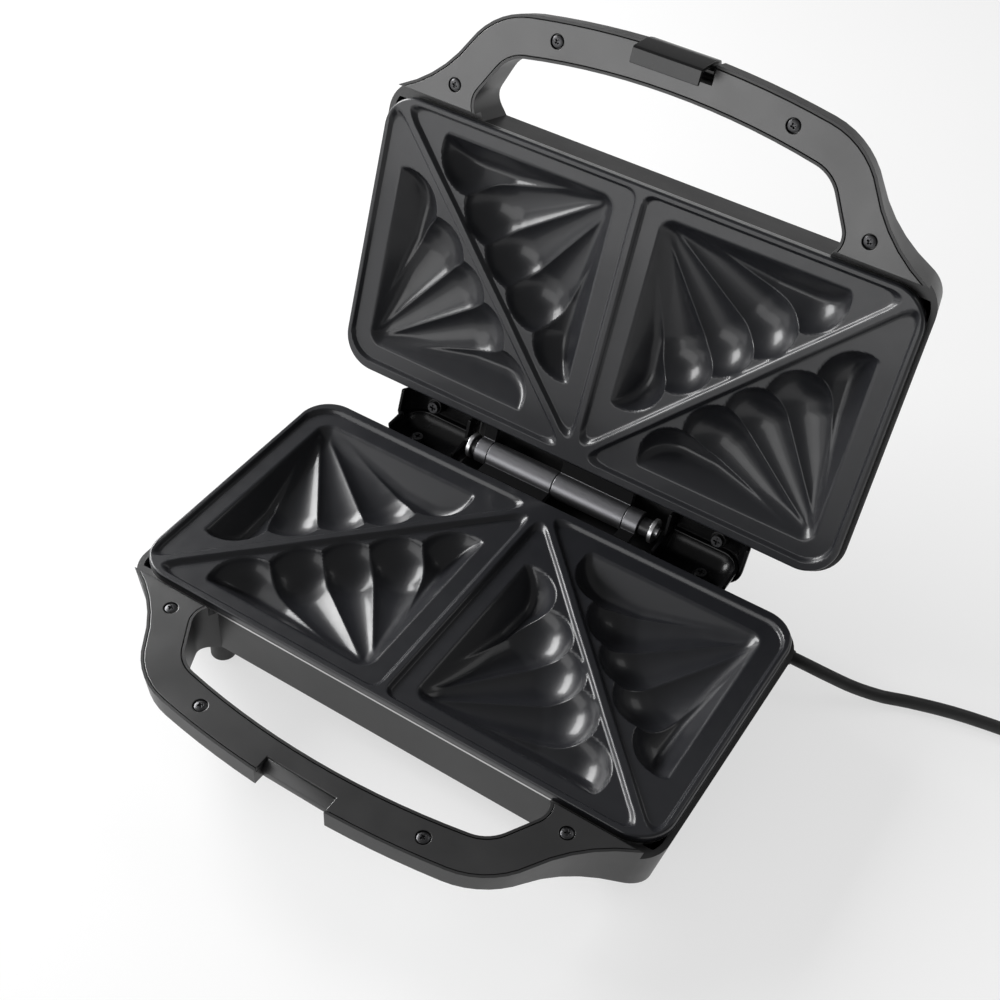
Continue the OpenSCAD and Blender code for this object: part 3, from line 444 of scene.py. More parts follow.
def make_materials():
    """One finish for each material slot."""
    c = bpy.context.scene.toaster_colours
    edge = bpy.context.scene.toaster_trim.edge
    steel = tuple(c.steel)
    MATERIALS.update(
        plate=coated_metal("plate_coating", tuple(c.coating)),
        cover=moulded("cover_satin", tuple(c.cover), 0.32, 3200.0, 0.10, 0.0, 1.0),
        housing=moulded("housing_satin", tuple(c.shell), 0.40, 2400.0, 0.16, edge * 0.25, 0.6),
        hinge_cover=moulded("hinge_cover_gloss", tuple(c.gloss), 0.26, 900.0, 0.02, 0.0, 0.25),
        # painted shade: a near-black matt, low-gloss finish that stands in for the shade on the
        # hinge webs and in the latch recess
        web=moulded("hinge_web_dark", tuple(c.gloss), 0.6, 900.0, 0.1, 0.0, 0.1),
        latch=moulded("latch_satin", tuple(c.gloss), 0.24, 2600.0, 0.08),
        screw=bright_metal("screw_dark", (0.075, 0.075, 0.078), 0.3),
        bright_steel=bright_metal("steel_bright", steel, 0.3, (1, 6, 6)),
        barrel=bright_metal("barrel_steel", (0.20, 0.20, 0.21), 0.34, (0.3, 6, 6)),
        tray=bright_metal("tray_sheet", (0.6, 0.6, 0.6), 0.3, (0.2, 4, 4)),
        heater=bright_metal("heater_sheath", (0.42, 0.4, 0.38), 0.45),
        foot=rubber("foot_rubber", tuple(c.sheath)),
        cord=rubber("cord_sheath", tuple(c.sheath)),
        tie=moulded("tie_strap", (0.02, 0.02, 0.02), 0.5, 1500.0, 0.2),
        plug=moulded("plug_moulding", (0.016, 0.016, 0.017), 0.42, 1800.0, 0.2),
        bush=moulded("bush_plastic", (0.014, 0.014, 0.015), 0.35, 2000.0, 0.1),
        ceramic=ceramic("fired_ceramic", (0.72, 0.69, 0.62)),
        wire=rubber("lead_sleeve", (0.32, 0.03, 0.02)),
        red_lens=tinted_lens("lens_red", (0.55, 0.02, 0.015)),
        green_lens=tinted_lens("lens_green", (0.02, 0.40, 0.05)),
        lamp=tinted_lens("lamp_glass", (0.85, 0.5, 0.25)),
    )


# Places
def on_base(points):
    """Points of the base half in the row frame, in metres."""
    p = np.asarray(points, float).reshape(-1, 3)
    return np.column_stack([p[:, 0], p[:, 1] - CENTRE_Y, p[:, 2] + MATE_Z]) * MM


def turn_lid(vectors):
    """Directions of the lid half, mirrored and swung open."""
    v = np.asarray(vectors, float).reshape(-1, 3)
    c, s = math.cos(OPEN_ANGLE), math.sin(OPEN_ANGLE)
    y, z = v[:, 1], -v[:, 2]
    return np.column_stack([v[:, 0], y * c + z * s, -y * s + z * c])


def on_lid(points):
    """Points of the lid half in the row frame, in metres."""
    p = np.asarray(points, float).reshape(-1, 3) - np.array([0, HINGE_Y, 0])
    return (turn_lid(p) + np.array([0, HINGE_Y - CENTRE_Y, MATE_Z])) * MM


# Mesh helpers
def start_clean():
    """Nothing selected and nothing active."""
    if bpy.context.object and bpy.context.object.mode != "OBJECT":
        bpy.ops.object.mode_set(mode="OBJECT")
    for obj in bpy.context.view_layer.objects:
        obj.select_set(False)
    bpy.context.view_layer.objects.active = None


def take(obj):
    """Makes obj the one selected and active object."""
    start_clean()
    obj.select_set(True)
    bpy.context.view_layer.objects.active = obj
    return obj


def coords(mesh):
    co = np.zeros(len(mesh.vertices) * 3, np.float32)
    mesh.vertices.foreach_get("co", co)
    return co.reshape(-1, 3).astype(float)


def set_coords(mesh, co):
    mesh.vertices.foreach_set("co", np.asarray(co, np.float32).ravel())
    mesh.update()


def modify(obj, kind, **settings):
    """Adds a modifier, sets it and applies it."""
    take(obj)
    made = obj.modifiers.new(kind.title(), kind)
    for key, value in settings.items():
        setattr(made, key, value)
    bpy.ops.object.modifier_apply(modifier=made.name)


def smooth(obj, angle=32.0):
    take(obj)
    bpy.ops.object.shade_smooth_by_angle(angle=math.radians(angle))


def finish(obj, body, slot, *nodes):
    """Gives a piece its finish and its body, and hides the CAD nodes it stands for."""
    obj.data.materials.clear()
    obj.data.materials.append(MATERIALS[slot])
    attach(obj, body)
    if nodes:
        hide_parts(*nodes)
    return obj


def refined(node, angle=32.0, edge=0.0, behind=None):
    """A merged copy of a CAD node with smooth curves and rounded edges.

    behind is a point and a direction, and only what lies past that plane is kept.
    """
    copy = frame["nodes"][node].copy()
    copy.data = copy.data.copy()
    for key in list(copy.keys()):
        del copy[key]
    copy.name = node + "_shape"
    copy.parent = None
    bpy.context.scene.collection.objects.link(copy)
    copy.hide_render = copy.hide_viewport = False
    copy.matrix_world = Matrix.Identity(4)
    take(copy)
    bpy.ops.object.mode_set(mode="EDIT")
    bpy.ops.mesh.select_all(action="SELECT")
    bpy.ops.mesh.customdata_custom_splitnormals_clear()
    bpy.ops.mesh.remove_doubles(threshold=2e-6)
    if behind is not None:
        place, across = behind
        bpy.ops.mesh.bisect(
            plane_co=place, plane_no=across, use_fill=True, clear_inner=True, threshold=1e-6
        )
        bpy.ops.mesh.select_all(action="SELECT")
    bpy.ops.mesh.dissolve_limited(angle_limit=math.radians(0.4))
    bpy.ops.object.mode_set(mode="OBJECT")
    if edge:
        modify(
            copy, "BEVEL", width=edge, segments=2, limit_method="ANGLE",
            angle_limit=math.radians(angle), use_clamp_overlap=False,
        )
    smooth(copy, angle)
    modify(copy, "WEIGHTED_NORMAL", keep_sharp=True, weight=80)
    return copy


# Height of a cooking plate
def soft_min(a, b, k):
    h = np.clip(0.5 + 0.5 * (b - a) / k, 0, 1)
    return b * (1 - h) + a * h - k * h * (1 - h)


def soft_max(a, b, k):
    return -soft_min(-a, -b, k)


def inside_box(x, y, x0, y0, x1, y1, r):
    """Depth inside a rounded box, negative outside it."""
    qx = np.abs(x - (x0 + x1) / 2) - ((x1 - x0) / 2 - r)
    qy = np.abs(y - (y0 + y1) / 2) - ((y1 - y0) / 2 - r)
    corner = np.hypot(np.maximum(qx, 0), np.maximum(qy, 0))
    return r - corner - np.minimum(np.maximum(qx, qy), 0)


def ball_floor(u, v, centre, rise):
    left = SCALLOP_R**2 - (u - centre) ** 2 - v * v
    return np.where(left > 0, rise - np.sqrt(np.maximum(left, 0)), NOWHERE)


def scallop_floor(u, v, deep, end):
    """Height of one scallop above its apex: a cone, a level run and a ball at its end."""
    rise = SCALLOP_R - deep + SCALLOP_LIFT
    tilt = math.atan2(rise, SCALLOP_REACH)
    length = math.hypot(rise, SCALLOP_REACH)
    k = math.tan(math.asin(SCALLOP_R / length)) ** 2
    c, s = math.cos(tilt), math.sin(tilt)
    a = c * c - k * s * s
    b = -2 * u * s * c * (1 + k)
    q = u * u * (s * s - k * c * c) + v * v
    root = b * b - 4 * a * q
    cone = np.where(root > 0, (-b - np.sqrt(np.maximum(root, 0))) / (2 * a), NOWHERE)
    past = u * c + cone * s > length * (1 - (SCALLOP_R / length) ** 2)
    floor = np.where((root > 0) & (u > 0) & ~past, cone, ball_floor(u, v, SCALLOP_REACH, rise))
    run = ball_floor(u, v, np.clip(u, SCALLOP_REACH, end), rise)
    return np.minimum(floor, np.where(u > SCALLOP_REACH, run, NOWHERE))


def pocket_floor(x, y, plates):
    """Height of one pocket's surface, its corner at LEGS."""
    low = np.full_like(x, NOWHERE)
    fade = APEX_BLEND * np.exp(-((x - APEX[0]) ** 2 + (y - APEX[1]) ** 2) / APEX_REACH**2)
    for i, end in enumerate(SCALLOP_ENDS):
        a = math.radians(45 + (i - 2) * SCALLOP_STEP)
        u = (x - APEX[0]) * math.cos(a) + (y - APEX[1]) * math.sin(a)
        v = (y - APEX[1]) * math.cos(a) - (x - APEX[0]) * math.sin(a)
        floor = scallop_floor(u, v, plates.scallop_depth, end) - SCALLOP_LIFT - plates.area_drop
        low = soft_min(low, floor, plates.softness + fade)
    depth = inside_box(x, y, *LEGS, FAR, FAR, LEGS_CORNER)
    wall = LEGS_LIFT - plates.area_drop - LEGS_SLOPE * depth
    return soft_max(low, wall, LEGS_BLEND)


def plate_height(x, y, plates):
    """Height of a plate's top at a point of its half, mm."""
    x = np.abs(x)
    x1, y1 = PLATE[0] - LIP, PLATE[1] - LIP
    rise = y1 / x1
    across = math.hypot(x1, y1)
    ridge = ((y1 - x * rise) - y) * x1 / across
    corner = soft_min(x - SPINE, y - LIP, SPINE_ROUND)
    inner = soft_min(corner, ridge - plates.ridge / 2, AREA_ROUND)
    outer = soft_min(
        inside_box(x, y, -FAR, -FAR, x1, y1 - RIM_BACK, PLATE_CORNER - LIP),
        -ridge - plates.ridge / 2, AREA_ROUND,
    )
    step = np.clip((np.maximum(inner, outer) + AREA_EDGE) / plates.slope, 0, 1)
    step = step * step * (3 - 2 * step)
    top = -RIDGE_DROP - (plates.area_drop - RIDGE_DROP) * step
    for px, py in ((x, y), (FAR_CORNER[0] - x, FAR_CORNER[1] - y)):
        top = soft_min(top, pocket_floor(px, py, plates), POCKET_BLEND)
    r = plates.edge
    s = np.clip(inside_box(x, y, -PLATE[0], 0, *PLATE, PLATE_CORNER), 0, r)
    return top - (r - np.sqrt(np.maximum(r * r - (r - s) ** 2, 0)))


def plate_grid(columns, rows, inset=0.0):
    """x and y of a grid whose outer lines follow a plate's rounded outline."""
    r = PLATE_CORNER - inset
    turn = np.linspace(0, math.pi / 2, max(4, int(rows * CORNER_SHARE)))
    corner = r * (1 - np.cos(turn))
    straight = np.linspace(r, PLATE[1] - 2 * inset - r, rows)[1:-1]
    y = np.concatenate([corner, straight, PLATE[1] - 2 * inset - corner[::-1]])
    half = np.full_like(y, PLATE[0] - inset)
    ends = PLATE[0] - inset - r + r * np.sin(turn)
    half[: len(turn)] = ends
    half[-len(turn):] = ends[::-1]
    t = np.linspace(-1, 1, columns + 1)
    return half[:, None] * t[None, :], np.repeat((y + inset)[:, None], columns + 1, 1)


def add_grid(name, x, y, z):
    """A primitive grid with its points moved to x, y, z (mm)."""
    rows, columns = x.shape
    bpy.ops.mesh.primitive_grid_add(x_subdivisions=columns - 1, y_subdivisions=rows - 1, size=2)
    obj = bpy.context.object
    obj.name = name
    co = coords(obj.data)
    i = np.rint((co[:, 1] + 1) / 2 * (rows - 1)).astype(int)
    j = np.rint((co[:, 0] + 1) / 2 * (columns - 1)).astype(int)
    set_coords(obj.data, np.column_stack([x[i, j], y[i, j], z[i, j]]))
    return obj


def make_plate(name, place, turn, flip):
    """A cooking plate's casting: scalloped top, rounded skirt and the backs of its pockets."""
    plates = bpy.context.scene.toaster_plates
    start_clean()
    x, y = plate_grid(plates.columns, plates.rows)
    top = add_grid(name, x, y, plate_height(x, y, plates))
    take(top)
    bpy.ops.object.mode_set(mode="EDIT")
    bpy.ops.mesh.select_mode(type="EDGE")
    bpy.ops.mesh.select_all(action="DESELECT")
    bpy.ops.mesh.select_non_manifold(extend=False)
    for down in (SKIRT, SKIRT_TURN):
        bpy.ops.mesh.extrude_region_move(TRANSFORM_OT_translate={"value": (0, 0, -down)})
    bpy.ops.transform.resize(
        value=(1 - SKIRT_IN / PLATE[0], 1 - 2 * SKIRT_IN / PLATE[1], 1),
        center_override=(0, PLATE[1] / 2, 0),
    )
    bpy.ops.object.mode_set(mode="OBJECT")
    start_clean()
    u, v = plate_grid(*BACK_CELLS, BACK_INSET)
    back = np.minimum(plate_height(u, v, plates) - BACK_WALL, BACK_TOP)
    under = add_grid(name + "_back", u, v, back)
    under.data.flip_normals()
    under.select_set(True)
    top.select_set(True)
    bpy.context.view_layer.objects.active = top
    bpy.ops.object.join()
    bpy.ops.object.mode_set(mode="EDIT")
    bpy.ops.mesh.select_mode(type="EDGE")
    bpy.ops.mesh.select_all(action="DESELECT")
    bpy.ops.mesh.select_non_manifold(extend=False)
    bpy.ops.mesh.bridge_edge_loops()
    bpy.ops.object.mode_set(mode="OBJECT")
    mesh = top.data
    co = coords(mesh)
    normals = np.zeros(len(co) * 3, np.float32)
    mesh.vertex_normals.foreach_get("vector", normals)
    normals = normals.reshape(-1, 3).astype(float)
    x, y = co[:, 0], co[:, 1]
    on_top = np.abs(plate_height(x, y, plates) - co[:, 2]) < 1e-3
    e = 0.06
    slope_x = plate_height(x + e, y, plates) - plate_height(x - e, y, plates)
    slope_y = plate_height(x, y + e, plates) - plate_height(x, y - e, plates)
    exact = np.column_stack([-slope_x, -slope_y, np.full(len(co), 2 * e)])
    inner = inside_box(x, y, -PLATE[0], 0, *PLATE, PLATE_CORNER) > 0.1
    normals[on_top & inner] = exact[on_top & inner]
    normals /= np.linalg.norm(normals, axis=1)[:, None]
    set_coords(mesh, place(co))
    if flip:
        mesh.flip_normals()
    take(top)
    bpy.ops.object.shade_smooth()
    mesh.normals_split_custom_set_from_vertices(turn(normals))
    return top


def hinge_place(lid):
    """Plane behind a plate, past which only its hinge barrels lie."""
    point = (on_lid if lid else on_base)([[0, PLATE[1] + 0.06, 0]])[0]
    across = turn_lid([[0, 1, 0]])[0] if lid else np.array([0, 1.0, 0])
    return tuple(point), tuple(across)


class TOASTER_OT_plates(Operator):
    """Makes both cooking plates and their hinge barrels"""

    bl_idname = "toaster.plates"
    bl_label = "Cooking plates"

    def execute(self, context):
        base = make_plate("base_plate_casting", on_base, lambda v: v, False)
        lid = make_plate("lid_plate_casting", on_lid, turn_lid, True)
        finish(base, "base", "plate", "base_plate")
        finish(lid, "lid", "plate", "lid_plate")
        for body in ("base", "lid"):
            node = body + "_plate"
            barrels = refined(node, 30, SMALL_EDGE, behind=hinge_place(body == "lid"))
            barrels.name = body + "_barrels"
            finish(barrels, body, "barrel", node)
            # the webs, away from the barrel's round, take the painted-shade finish in a second
            # slot, a dark band of painted shade between barrel and plate
            barrels.data.materials.append(MATERIALS["web"])
            for face in barrels.data.polygons:
                away = face.center - HINGE
                face.material_index = int(math.hypot(away.y, away.z) > BARREL_R + SMALL_EDGE)
        return {"FINISHED"}


class TOASTER_OT_shells(Operator):
    """Makes the housings, handle covers, panels, latch and feet"""

    bl_idname = "toaster.shells"
    bl_label = "Housings and covers"

    def execute(self, context):
        edge = context.scene.toaster_trim.edge
        for body in ("base", "lid"):
            finish(refined(body + "_housing", 32), body, "housing", body + "_housing")
            cover = refined(body + "_handle_cover", 32, edge)
            finish(cover, body, "cover", body + "_handle_cover")
        for node, body, slot in (
            ("base_floor_panel", "base", "housing"),
            ("lid_top_panel", "lid", "cover"),
            ("latch_clip", "latch", "latch"),
            ("cord_outlet", "base", "housing"),
        ):
            finish(refined(node, 32, edge), body, slot, node)
        self.ramp()
        self.paint_latch_shade()
        for node in ("foot_front_left", "foot_front_right", "foot_rear_left", "foot_rear_right"):
            finish(refined(node, 32, edge), "base", "foot", node)
        return {"FINISHED"}

    @staticmethod
    def block(name, low, high):
        """A block between two corners of a half, left in edit mode, all selected."""
        start_clean()
        bpy.ops.mesh.primitive_cube_add(size=1)
        block = bpy.context.object
        block.name = name
        bpy.ops.object.mode_set(mode="EDIT")
        bpy.ops.mesh.select_all(action="SELECT")
        bpy.ops.transform.resize(value=[h - l for l, h in zip(low, high)])
        bpy.ops.transform.translate(value=[(h + l) / 2 for l, h in zip(low, high)])
        return block

    def ramp(self):
        """The sloping face at the back of the base handle's latch recess."""
        (x0, y0, z0), (x1, y1, z1) = RAMP
        block = self.block("latch_ramp", (x0, y0, z0), (x1, y1 + RAMP_BACK, z1))
        bpy.ops.mesh.bisect(
            plane_co=(0, y1, z1), plane_no=(0, z0 - z1, y1 - y0), use_fill=True, clear_outer=True
        )
        bpy.ops.object.mode_set(mode="OBJECT")
        set_coords(block.data, on_base(coords(block.data)))
        modify(block, "BEVEL", width=SMALL_EDGE, segments=2, limit_method="ANGLE")
        smooth(block)
        finish(block, "base", "housing")

    def paint_latch_shade(self):
        """The floor of the lid handle's latch recess, behind the clip, made near black as painted
        shade.
        """
        block = self.block("latch_recess_floor", *LATCH_SHADE_BLOCK)
        bpy.ops.object.mode_set(mode="OBJECT")
        modify(block, "BEVEL", width=0.2, segments=2, limit_method="ANGLE")
        set_coords(block.data, on_lid(coords(block.data)))
        block.data.flip_normals()
        smooth(block)
        # near-black painted-shade finish for the shaded recess
        finish(block, "lid", "web")


class TOASTER_OT_hinge(Operator):
    """Makes the hinge covers, pin, washers and bushes"""

    bl_idname = "toaster.hinge"
    bl_label = "Hinge"

    def execute(self, context):
        edge = context.scene.toaster_trim.edge
        for body in ("base", "lid"):
            for side in ("left", "right"):
                node = f"{body}_hinge_cover_{side}"
                finish(refined(node, 32, edge), body, "hinge_cover", node)
        for node, slot in (
            ("hinge_pin", "bright_steel"), ("hinge_washer_left", "bright_steel"),
            ("hinge_washer_right", "bright_steel"), ("hinge_bushes", "bush"),
        ):
            finish(refined(node, 32, edge * 0.6), "base", slot, node)
        # the steel latch pin takes the dark screw finish as painted shade, for the shaded recess it
        # sits in
        finish(refined("latch_pin", 32, edge * 0.4), "lid", "screw", "latch_pin")
        return {"FINISHED"}


def screw_head(name, sizes):
    """A pan head with a cross recess, its top at z = 0, and its shank, mm."""
    radius, height, shank, length = sizes
    dome = bpy.context.scene.toaster_trim.screw_dome
    start_clean()
    bpy.ops.mesh.primitive_circle_add(vertices=40, radius=radius * 0.35, fill_type="NGON")
    head = bpy.context.object
    head.name = name
    bpy.ops.object.mode_set(mode="EDIT")
    bpy.ops.mesh.select_mode(type="EDGE")
    bpy.ops.mesh.select_all(action="DESELECT")
    bpy.ops.mesh.select_non_manifold(extend=False)
    for wide, down in (
        (0.62, -dome * 0.25), (0.84, -dome * 0.7), (0.95, -dome), (1.0, -dome * 1.5),
        (1.0, -height), (shank / radius, -height), (shank / radius, -height - length),
    ):
        ring = coords_selected(head)
        now_r = float(np.hypot(ring[:, 0], ring[:, 1]).max())
        now_z = float(ring[:, 2].mean())
        bpy.ops.mesh.extrude_region_move(TRANSFORM_OT_translate={"value": (0, 0, down - now_z)})
        k = wide * radius / now_r
        bpy.ops.transform.resize(value=(k, k, 1), center_override=(0, 0, down))
    bpy.ops.mesh.edge_face_add()
    bpy.ops.mesh.select_all(action="SELECT")
    bpy.ops.mesh.normals_make_consistent(inside=False)
    bpy.ops.object.mode_set(mode="OBJECT")
    for turn in (0, 90):
        start_clean()
        bpy.ops.mesh.primitive_cube_add(size=1)
        blade = bpy.context.object
        bpy.ops.object.mode_set(mode="EDIT")
        bpy.ops.mesh.select_all(action="SELECT")
        bpy.ops.transform.resize(
            value=(radius * 1.35, radius * 0.34, 2.2), center_override=(0, 0, 0)
        )
        bpy.ops.object.mode_set(mode="OBJECT")
        co = coords(blade.data)
        co[co[:, 2] < 0] *= [0.45, 0.7, 1]
        if turn:
            co = co[:, [1, 0, 2]] * [-1, 1, 1]
        set_coords(blade.data, co)
        modify(head, "BOOLEAN", object=blade, operation="DIFFERENCE", solver="EXACT")
        bpy.data.objects.remove(blade)
    modify(
        head, "BEVEL", width=0.07, segments=2, limit_method="ANGLE", angle_limit=math.radians(40),
        use_clamp_overlap=False,
    )
    return head


def coords_selected(obj):
    """Places of the selected points in edit mode."""
    obj.update_from_editmode()
    picked = [v.co[:] for v in obj.data.vertices if v.select]
    return np.array(picked, float)


class TOASTER_OT_screws(Operator):
    """Makes the cross-head screws of the handles and hinge covers"""

    bl_idname = "toaster.screws"
    bl_label = "Screws"

    def execute(self, context):
        for body, place in (("base", on_base), ("lid", on_lid)):
            made = []
            pattern = screw_head(body + "_handle_screw", HANDLE_SCREW)
            for k, (sx, at) in enumerate((s, p) for s in (1, -1) for p in HANDLE_SCREWS):
                copy = pattern.copy()
                copy.data = pattern.data.copy()
                copy.name = f"{body}_handle_screw_{k + 1}"
                bpy.context.scene.collection.objects.link(copy)
                a = math.radians(25 + 37 * k)
                co = coords(copy.data)
                c, s = math.cos(a), math.sin(a)
                x, y = co[:, 0], co[:, 1]
                co = np.column_stack([x * c - y * s, x * s + y * c, co[:, 2]])
                co += [sx * at[0], at[1], self.top()]
                set_coords(copy.data, place(co))
                if body == "lid":
                    copy.data.flip_normals()
                smooth(copy, 35)
                made.append(copy)
            for copy in made:
                finish(copy, body, "screw", body + "_handle_screws")
            bpy.data.objects.remove(pattern)
            finish(refined(body + "_hinge_screws", 32), body, "screw", body + "_hinge_screws")
        return {"FINISHED"}

    @staticmethod
    def top():
        """Height of a handle screw's top below the parting plane."""
        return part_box("base_handle_screws")[1].z / MM - MATE_Z


# Cord
def spline_points(route, steps):
    """A smooth line through the route's points."""
    p = np.array(route, float)
    out = []
    for i in range(len(p) - 1):
        a, b, c, d = p[max(0, i - 1)], p[i], p[i + 1], p[min(len(p) - 1, i + 2)]
        for t in np.arange(steps) / steps:
            out.append(0.5 * (2 * b + (c - a) * t + (2 * a - 5 * b + 4 * c - d) * t * t
                              + (3 * b - a - 3 * c + d) * t**3))
    out.append(p[-1])
    return np.array(out)


def coil_points(per_turn):
    """The coiled spare cord and its tail to the plug, as in the CAD model."""
    lean = math.degrees(math.atan(COIL_PITCH / (math.pi * COIL_D)))
    start = CORD_HEADING - 90 - lean
    turns_out = math.ceil(TURNS_IN) + 1 - start / 360 - TURNS_IN
    inner = COIL_D / 2 - COIL_PITCH * TURNS_IN / 2

    def radius(u):
        return inner + COIL_PITCH * math.sqrt(u * u + 0.01)

    def height(u, a):
        d = abs((a - TIE_ANGLE + 180) % 360 - 180)
        wave = 0.5 + 0.5 * math.cos(math.pi * d / TIE_SPREAD)
        lift = TIE_LIFT * wave if d < TIE_SPREAD else 0
        climb = 0 if u < -0.25 else 1 if u > 0.25 else 0.5 + 0.5 * math.sin(math.radians(u * 360))
        return CORD_H + COIL_PITCH * climb + lift

    h = math.radians(CORD_HEADING)
    begin = np.array(CORD_ROUTE[-1]) + CORD_D * np.array([math.cos(h), math.sin(h), 0])
    s = math.radians(start)
    centre = begin[:2] - radius(-TURNS_IN) * np.array([math.cos(s), math.sin(s)])
    steps = round(per_turn * (TURNS_IN + turns_out))
    loops = []
    for i in range(steps + 1):
        u = -TURNS_IN + (TURNS_IN + turns_out) * i / steps
        a = start + 360 * (u + TURNS_IN)
        r = radius(u)
        loops.append((centre[0] + r * math.cos(math.radians(a)),
                      centre[1] + r * math.sin(math.radians(a)), height(u, a)))
    loops = np.array(loops)
    way = loops[-1, :2] - loops[-2, :2]
    way /= np.linalg.norm(way)
    tail = []
    for i in range(1, TAIL_STEPS + 1):
        s = (TAIL_FLAT + TAIL_DROP + 2 * CORD_D) * i / TAIL_STEPS
        z = loops[-1, 2]
        if s > TAIL_FLAT + TAIL_DROP:
            z = PLUG_H
        elif s > TAIL_FLAT:
            z += (PLUG_H - z) * (0.5 - 0.5 * math.cos(math.pi * (s - TAIL_FLAT) / TAIL_DROP))
        tail.append((*(loops[-1, :2] + s * way), z))
    return np.vstack([loops, tail])


def on_table(points):
    """Points whose height is over the table, in the row frame, in metres."""
    p = np.array(points, float)
    p[:, 1] -= CENTRE_Y
    return p * MM


class TOASTER_OT_cord(Operator):
    """Makes the mains cord with its coiled spare length"""

    bl_idname = "toaster.cord"
    bl_label = "Mains cord"

    def execute(self, context):
        width = context.scene.toaster_trim.cord_width
        route = np.vstack([spline_points(CORD_ROUTE, 4), coil_points(36)])
        route[:, 2] = np.maximum(route[:, 2], CORD_D / 2)
        path = on_table(route)
        start_clean()
        bpy.ops.curve.primitive_nurbs_path_add()
        cord = bpy.context.object
        cord.name = "mains_cord"
        curve = cord.data
        curve.splines.clear()
        line = curve.splines.new("POLY")
        line.points.add(len(path) - 1)
        line.points.foreach_set("co", np.column_stack([path, np.ones(len(path))]).ravel())
        curve.dimensions = "3D"
        curve.twist_mode = "MINIMUM"
        curve.bevel_depth = width / 2
        curve.bevel_resolution = 5
        curve.use_fill_caps = True
        for spline in curve.splines:
            spline.use_smooth = True
        finish(cord, "base", "cord", "cord", "cord_coil")
        relief = refined("strain_relief", 32, 0.0002)
        finish(relief, "base", "cord", "strain_relief")
        for node, slot in (
            ("coil_tie", "tie"), ("plug", "plug"), ("plug_pins", "bright_steel"),
            ("plug_earth_clips", "bright_steel"),
        ):
            finish(refined(node, 32, SMALL_EDGE), "base", slot, node)
        return {"FINISHED"}


class TOASTER_OT_inside(Operator):
    """Gives the parts inside the housings their finishes"""

    bl_idname = "toaster.inside"
    bl_label = "Inner parts"

    def execute(self, context):
        slots = {part["node"]: part["material_slot"] for part in frame["record"]["subparts"]}
        for name, node in frame["nodes"].items():
            if node.hide_render:
                continue
            node.data.materials.clear()
            node.data.materials.append(MATERIALS[slots[name]])
        return {"FINISHED"}


def soft_lamp(name, place, aim, size, power):
    """A large rectangular lamp aimed at a point."""
    start_clean()
    bpy.ops.object.light_add(type="AREA", location=place)
    lamp = bpy.context.object
    lamp.name = name
    lamp.data.shape = "RECTANGLE"
    lamp.data.size, lamp.data.size_y = size
    lamp.data.energy = power
    way = Vector(aim) - Vector(place)
    lamp.rotation_euler = way.to_track_quat("-Z", "Y").to_euler()


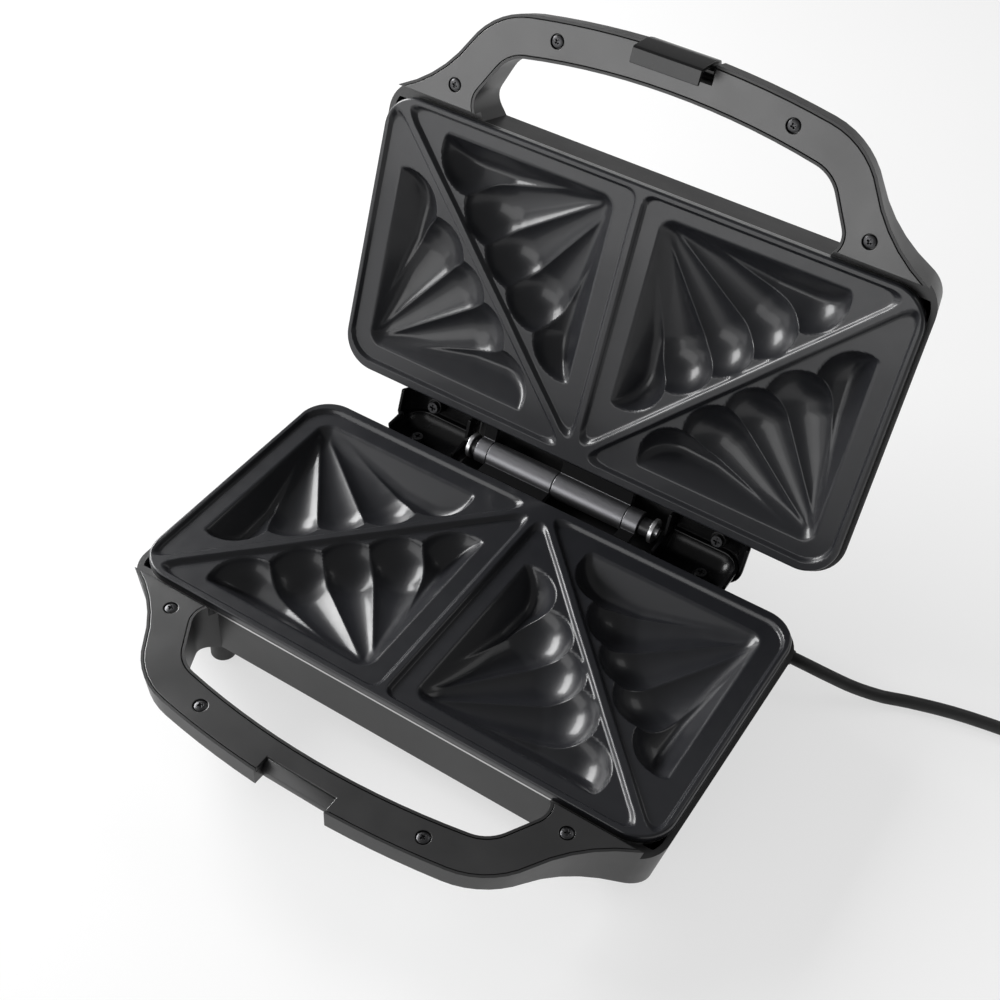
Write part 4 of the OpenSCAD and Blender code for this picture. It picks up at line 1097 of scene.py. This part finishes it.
class TOASTER_OT_stage(Operator):
    """Makes the floor, the lamps, the world and the camera"""

    bl_idname = "toaster.stage"
    bl_label = "Stage"

    def execute(self, context):
        stage = context.scene.toaster_stage
        start_clean()
        bpy.ops.mesh.primitive_plane_add(size=6, location=(0, 0, -0.0002))
        floor = context.object
        floor.name = "floor"
        floor.data.materials.append(self.floor_paint(stage.floor, stage.glow))
        for name, (place, aim, size) in LAMPS.items():
            soft_lamp("lamp_" + name, place, aim, size, getattr(stage, name))
        self.world(context, stage.sky)
        bpy.ops.object.camera_add(location=CAMERA_PLACE)
        camera = context.object
        camera.name = "photo_view"
        camera.rotation_euler = Euler([math.radians(a) for a in CAMERA_TURN])
        camera.data.sensor_width = 36
        camera.data.lens = stage.lens
        context.scene.camera = camera
        context.scene.view_settings.view_transform = "Standard"
        return {"FINISHED"}

    @staticmethod
    def floor_paint(pale, glow):
        """Pale matt floor that the camera and reflections see part white, part lit."""
        paint = Paint("floor_pale")
        cloud = paint.noise(1.5, 2.0)
        paint.set(
            Base_Color=paint.tint(cloud, (pale, pale, pale), (pale + 0.02,) * 3),
            Roughness=0.6,
            Specular_IOR_Level=0.0,
        )
        seen = paint.node("ShaderNodeLightPath", output="Is Camera Ray")
        mirrored = paint.node("ShaderNodeLightPath", output="Is Glossy Ray")
        share = (seen + mirrored) * glow
        white = paint.node("ShaderNodeEmission", {}, {"Color": (1, 1, 1, 1), "Strength": 1.0})
        lit = Socket(paint, paint.shader.outputs[0])
        both = paint.node("ShaderNodeMixShader", {}, {0: share, 1: lit, 2: white})
        paint.feed(paint.tree.nodes["Material Output"].inputs["Surface"], both)
        return paint.material

    @staticmethod
    def world(context, strength):
        world = bpy.data.worlds.new("studio")
        context.scene.world = world
        world.use_nodes = True
        tree = world.node_tree
        light = tree.nodes["Background"]
        light.inputs["Color"].default_value = (1, 1, 1, 1)
        light.inputs["Strength"].default_value = strength
        white = tree.nodes.new("ShaderNodeBackground")
        white.inputs["Strength"].default_value = 1.0
        path = tree.nodes.new("ShaderNodeLightPath")
        mix = tree.nodes.new("ShaderNodeMixShader")
        tree.links.new(path.outputs["Is Camera Ray"], mix.inputs[0])
        tree.links.new(light.outputs[0], mix.inputs[1])
        tree.links.new(white.outputs[0], mix.inputs[2])
        tree.links.new(mix.outputs[0], tree.nodes["World Output"].inputs["Surface"])


OPERATORS = (
    TOASTER_OT_stage, TOASTER_OT_cord, TOASTER_OT_plates, TOASTER_OT_shells, TOASTER_OT_hinge,
    TOASTER_OT_screws, TOASTER_OT_inside,
)


class TOASTER_PT_panel(Panel):
    """Lists the steps and the sizes and colours"""

    bl_idname = "TOASTER_PT_panel"
    bl_label = "Sandwich toaster"
    bl_space_type = "VIEW_3D"
    bl_region_type = "UI"
    bl_category = "Toaster"

    def draw(self, context):
        for operator in OPERATORS:
            self.layout.operator(operator.bl_idname)
        for name, group in GROUPS.items():
            box = self.layout.box()
            for key in group.__annotations__:
                box.prop(getattr(context.scene, name), key)


def register():
    for cls in (*GROUPS.values(), *OPERATORS, TOASTER_PT_panel):
        bpy.utils.register_class(cls)
    for name, group in GROUPS.items():
        setattr(bpy.types.Scene, name, PointerProperty(type=group))


def unregister():
    for name in GROUPS:
        delattr(bpy.types.Scene, name)
    for cls in (TOASTER_PT_panel, *reversed(OPERATORS), *GROUPS.values()):
        bpy.utils.unregister_class(cls)


def main():
    register()
    make_materials()
    for operator in OPERATORS:
        group, name = operator.bl_idname.split(".")
        getattr(getattr(bpy.ops, group), name)()


if __name__ == "__main__":
    main()
